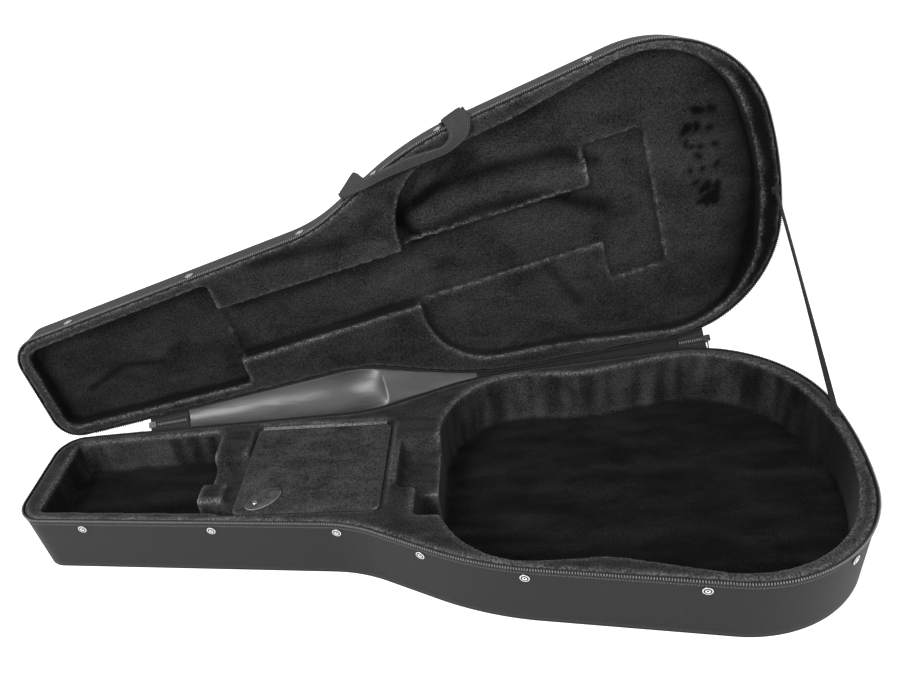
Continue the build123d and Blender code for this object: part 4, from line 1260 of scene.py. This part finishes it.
# Upper edge, lower edge and thickness at stations from the left end to the right, in mm
handle_rows = [
    ((-67, -2.4, 2.6), (-95, -2.4, 2.6), 1.8), ((-67, -3.2, -1.5), (-95.5, -3.4, -0.5), 1.8),
    ((-67, -0.5, -8.5), (-96, 0.5, -4.0), 1.9), ((-65, 6.0, -17.5), (-99, 9.0, -3.5), 2.0),
    ((-60, 12, -14.0), (-97, 15.0, -1.0), 2.0), ((-56, 18, -7.0), (-85, 21, 1.5), 2.2),
    ((-44, 21, -5.0), (-59, 23.5, 5.5), 3.4), ((-24, 23, -3.0), (-31, 24, 9.5), 4.4),
    ((0, 23, 0.5), (-5, 24, 15.5), 4.8), ((20, 23, 6.5), (14, 24, 20), 4.8),
    ((37, 23, 12.5), (33, 24, 25), 4.4), ((53, 23, 17.0), (57, 24, 29.5), 3.8),
    ((64, 22, 12.5), (84, 24, 26.0), 2.8), ((68, 18, 4.5), (99, 20, 13.0), 2.2),
    ((68.5, 12, -2.5), (101, 12, 1.5), 2.0), ((67.5, 4, -5.0), (96, 4, -5.0), 1.9),
    ((67, -2.6, -3.2), (96, -2.6, -3.2), 1.8), ((67, -2.6, 2.0), (96, -2.6, 2.0), 1.8),
]


class Ribbon:
    """Webbing between two edge lines, with a thickness at each station."""

    def __init__(self, rows, count, matrix):
        self.first, self.second = (
            turned(smooth_path([row[k] for row in rows], count) * mm, matrix) for k in (0, 1))
        knots = np.linspace(0, count - 1, len(rows))
        self.thickness = np.interp(np.arange(count), knots, [row[2] for row in rows]) * mm
        self.across = self.second - self.first
        self.middle = (self.first + self.second) / 2
        self.along = unit(np.gradient(self.middle, axis=0))
        self.out = unit(np.cross(self.along, self.across))

    def point(self, share, side):
        """The line at a share of the width, on one face (1) or the other (-1)."""
        crown = (1 - abs(2 * share - 1) ** 6) * side / 2
        return self.first + self.across * share + self.out * (self.thickness * crown)[:, None]

    def mesh(self, name, material):
        """The ribbon as one closed piece."""
        shares = [0.0, 0.03, 0.08, 0.2, 0.35, 0.5, 0.65, 0.8, 0.92, 0.97, 1.0]
        rows = [self.point(s, 1) for s in shares] + [self.point(s, -1) for s in shares[-2::-1]]
        walked = distances(self.middle)
        uvs = [np.column_stack([walked, np.full(len(walked), w * 30 * mm)])
               for w in shares + [2 - s for s in shares[-2::-1]]]
        return capped(surface(name, rows, uvs, material))


strap = Ribbon(handle_rows, 140, handle_frame)
handle = strap.mesh("handle_strap", webbing)
dress(handle, "handle", "webbing", "handle_webbing", "handle_grip")
rows = []
sewn = slice(44, 106)
for share, side in ((0.14, 1), (0.86, 1), (0.14, -1), (0.86, -1)):
    line = strap.point(share, side)[sewn]
    walked = distances(line)
    even = np.arange(0, walked[-1], 3.0 * mm)
    rows.append([resampled(even, walked, values)
                 for values in (line, strap.along[sewn], strap.out[sewn] * side)])
seam = stamped("handle_stitches", *(np.vstack(column) for column in zip(*rows)),
               stitch_stamp, (2.3 * mm, 0.7 * mm, 0.6 * mm), thread, 0.1, 11)
dress(seam, "handle", "grip")
print("handle", len(handle.data.polygons), "faces")

# %% [markdown]
# ## What holds the handle
# A patch of webbing is sewn to the lid's wall at each end, with a box and a cross of stitches.
# The end of the strap is rolled round a short cord, and two small loops hold that cord to the
# patch, so the handle can hang down at any angle of the lid.

# %% Patches, rolls, axles and keepers
axis_x, axis_out, axis_down = (np.array(handle_frame)[:3, k] for k in range(3))
pivot_middle = np.array(handle_frame.translation)
front = np.flatnonzero(fine_rim.points[:, 1] < 0)
# Corners of the stitched box, as steps along the patch and mm down it
box = [(3, 3), (3, 31.4), (35, 31.4), (35, 3), (3, 3), (35, 31.4), (35, 3), (3, 31.4)]
roll_angles = np.radians(np.linspace(20, 340, 33))
roll_out = np.array([axis_out * math.cos(a) + axis_down * math.sin(a) for a in roll_angles])
keeper_bend = smooth_path([(-7, 8.2), (-4.2, 3), (-2.6, -0.8), (0, -2.4), (2.6, -0.8),
                           (4.2, 3), (7, 8.2)], 25)
pivot_reach, roll_radius, axle_reach, keeper_reach = 81.5 * mm, 3.3 * mm, 19 * mm, 17.3 * mm
patch_depth, patch_size, patch_steps = 9.4 * mm, (34.4 * mm, 1.2 * mm), 19
stitch_rows = []
for number, from_tail, side in ((1, 558.0, -1), (2, 396.0, 1)):
    centre = front[np.argmin(abs(fine_rim.points[front, 0] - (tail_x - from_tail * mm)))]
    way = np.arange(centre - patch_steps, centre + patch_steps + 1)
    points, along, across, out = wall_frame(lid, fine_rim, patch_depth, way)
    patch = carried(f"handle_patch_{number}", points, across, out,
                    flat_section(*patch_size), webbing)
    dress(patch, "lid", "webbing", *(["handle_patches"] if number == 1 else []))
    for (a0, d0), (a1, d1) in zip(box[:-1], box[1:]):
        count = int(math.hypot(a1 - a0, d1 - d0) / 3.2)
        for s in (np.arange(count) + 0.5) / count:
            i = int(round(a0 + (a1 - a0) * s))
            depth = (d0 + (d1 - d0) * s) * mm
            stitch_rows.append((points[i] + across[i] * depth + out[i] * 1.22 * mm,
                                unit(along[i] * (a1 - a0) + across[i] * (d1 - d0)), out[i]))
    middle = pivot_middle + axis_x * side * pivot_reach
    roll = carried(f"handle_roll_{number}", middle + roll_out * roll_radius, axis_x, roll_out,
                   plain_section(15 * mm, 0.8 * mm), webbing)
    dress(roll, "handle", "webbing")
    line = middle + np.linspace(-axle_reach, axle_reach, 20)[:, None] * axis_x
    axle = carried(f"handle_axle_{number}", line, axis_out, axis_down,
                   round_section(1.7 * mm), piping_cloth)
    dress(axle, "lid", "piping")
    for letter, end in (("a", -keeper_reach), ("b", keeper_reach)):
        line = middle + axis_x * end + keeper_bend @ np.array([axis_out, axis_down]) * mm
        loop = carried(f"handle_keeper_{number}_{letter}", line, axis_x,
                       np.cross(axis_x, unit(np.gradient(line, axis=0))),
                       plain_section(1.7 * mm, 0.4 * mm), webbing)
        dress(loop, "lid", "webbing")
seam = stamped("handle_patch_stitches", *(np.vstack(column) for column in zip(*stitch_rows)),
               stitch_stamp, (2.5 * mm, 0.7 * mm, 0.6 * mm), thread, 0.1, 13)
dress(seam, "lid", "webbing")
print("patch stitches", len(stitch_rows))

# %% [markdown]
# ## Metal that comes from the CAD
# The sliders, their pulls and the rivet of the tab are small and turned or stamped to shape in
# the CAD already. They only need their finish.

# %% Finishes of the CAD pieces
dark_metal = grained("gunmetal", (0.05, 0.05, 0.052), 0.4, 500.0, 0.04 * mm,
                     ((0.018, 0.018, 0.019), (0.07, 0.07, 0.072), 0.35, 0.75), 4.0, metallic=1.0)
for name, material in (("tab_rivet", satin_metal), ("left_slider", dark_metal),
                       ("left_slider_pull", dark_metal), ("right_slider", dark_metal),
                       ("right_slider_pull", dark_metal)):
    slots = frame["nodes"][name].data.materials
    slots.clear()
    slots.append(material)
print("CAD nodes still shown:",
      [name for name, item in frame["nodes"].items() if not item.hide_render])

# %% [markdown]
# ## The camera
# The photograph was taken from a little above, in front of the tail end, with the camera
# rolled. The lens and the roll were found by matching the outline, so the camera below stands
# where the photographer stood.

# %% Camera
azimuth, elevation, roll = (math.radians(a) for a in (11.488, 32.885, -10.355))
camera_place = Vector((165.66, -840.03, 851.97)) * mm
focal_pixels, frame_width, centre_shift = 842.89, 900, 60.0
camera_data = bpy.data.cameras.new("camera")
camera_data.sensor_width = 36.0
camera_data.lens = focal_pixels / frame_width * camera_data.sensor_width
camera_data.shift_x = centre_shift / frame_width
camera = bpy.data.objects.new("camera", camera_data)
camera.matrix_world = (
    Matrix.Translation(camera_place)
    @ Matrix.Rotation(azimuth, 4, "Z")
    @ Matrix.Rotation(math.pi / 2 - elevation, 4, "X")
    @ Matrix.Rotation(roll, 4, "Z")
)
bpy.context.scene.collection.objects.link(camera)
bpy.context.scene.camera = camera
print("lens", round(camera_data.lens, 2), "mm")

# %% [markdown]
# ## Floor, world and lamps
# A product picture has a white ground with a soft shadow. The floor and the world are white
# where the camera or a reflection sees them, and stay plain grey light for everything else, so
# black cloth keeps its black. Three large lamps give the soft light of a studio.


# %% Floor, world and lamps
def seen_directly(owner):
    """One where the camera, a reflection or clear matter looks, and zero for plain light."""
    path = node(owner, "ShaderNodeLightPath").outputs
    direct = maths(owner, "MAXIMUM", path["Is Camera Ray"], path["Is Transmission Ray"])
    return maths(owner, "MAXIMUM", direct, path["Is Glossy Ray"])


reach, floor_glow, world_light = 12.0, 0.6, 0.55
floor_mesh = bpy.data.meshes.new("floor")
floor_mesh.from_pydata(
    [(-reach, -reach, 0), (reach, -reach, 0), (reach, reach, 0), (-reach, reach, 0)],
    [], [(0, 1, 2, 3)],
)
floor_paint = new_material("floor", (0.88, 0.88, 0.88), 0.9, specular=0.1)
# The camera sees the floor lifted to white, and the shadow under the case stays a little grey
floor_shader = floor_paint.node_tree.nodes["Principled BSDF"]
floor_shader.inputs["Emission Color"].default_value = (1, 1, 1, 1)
plug(floor_paint, maths(floor_paint, "MULTIPLY", seen_directly(floor_paint), floor_glow),
     "Emission Strength")
floor = link("floor", floor_mesh, floor_paint)
floor.location.z = -0.5 * mm

world = bpy.data.worlds.new("studio")
world.use_nodes = True
bpy.context.scene.world = world
level = world.node_tree.nodes["Background"]
level.inputs["Color"].default_value = (1, 1, 1, 1)
level.inputs["Strength"].default_value = world_light
white = node(world, "ShaderNodeBackground", {"Color": (1, 1, 1, 1), "Strength": 1.0})
mixed = node(world, "ShaderNodeMixShader",
             {0: seen_directly(world), 1: level.outputs[0], 2: white.outputs[0]})
world.node_tree.links.new(
    mixed.outputs[0], world.node_tree.nodes["World Output"].inputs["Surface"])


def lamp(name, place, target, size, watts):
    """Large soft square lamp that faces a point."""
    data = bpy.data.lights.new(name, "AREA")
    data.shape, data.size, data.energy = "SQUARE", size, watts
    made = bpy.data.objects.new(name, data)
    made.location = place
    made.rotation_euler = (Vector(target) - Vector(place)).to_track_quat("-Z", "Y").to_euler()
    bpy.context.scene.collection.objects.link(made)


lamp("key", (-1.3, -2.1, 2.1), (0, 0.1, 0.15), 1.2, 95)
lamp("top", (0.6, 0.3, 3.0), (0, 0.1, 0.1), 1.8, 28)
lamp("fill", (2.4, -1.4, 1.4), (0, 0.1, 0.2), 1.6, 17)
bpy.context.scene.view_settings.view_transform = "Standard"
print("lamps", len(bpy.data.lights))

# %% [markdown]
# ## Finish
# The stamps have done their work and leave the scene.

# %% Finish
for stamp in (tooth_stamp, stitch_stamp, rivet_stamp):
    bpy.data.objects.remove(stamp)
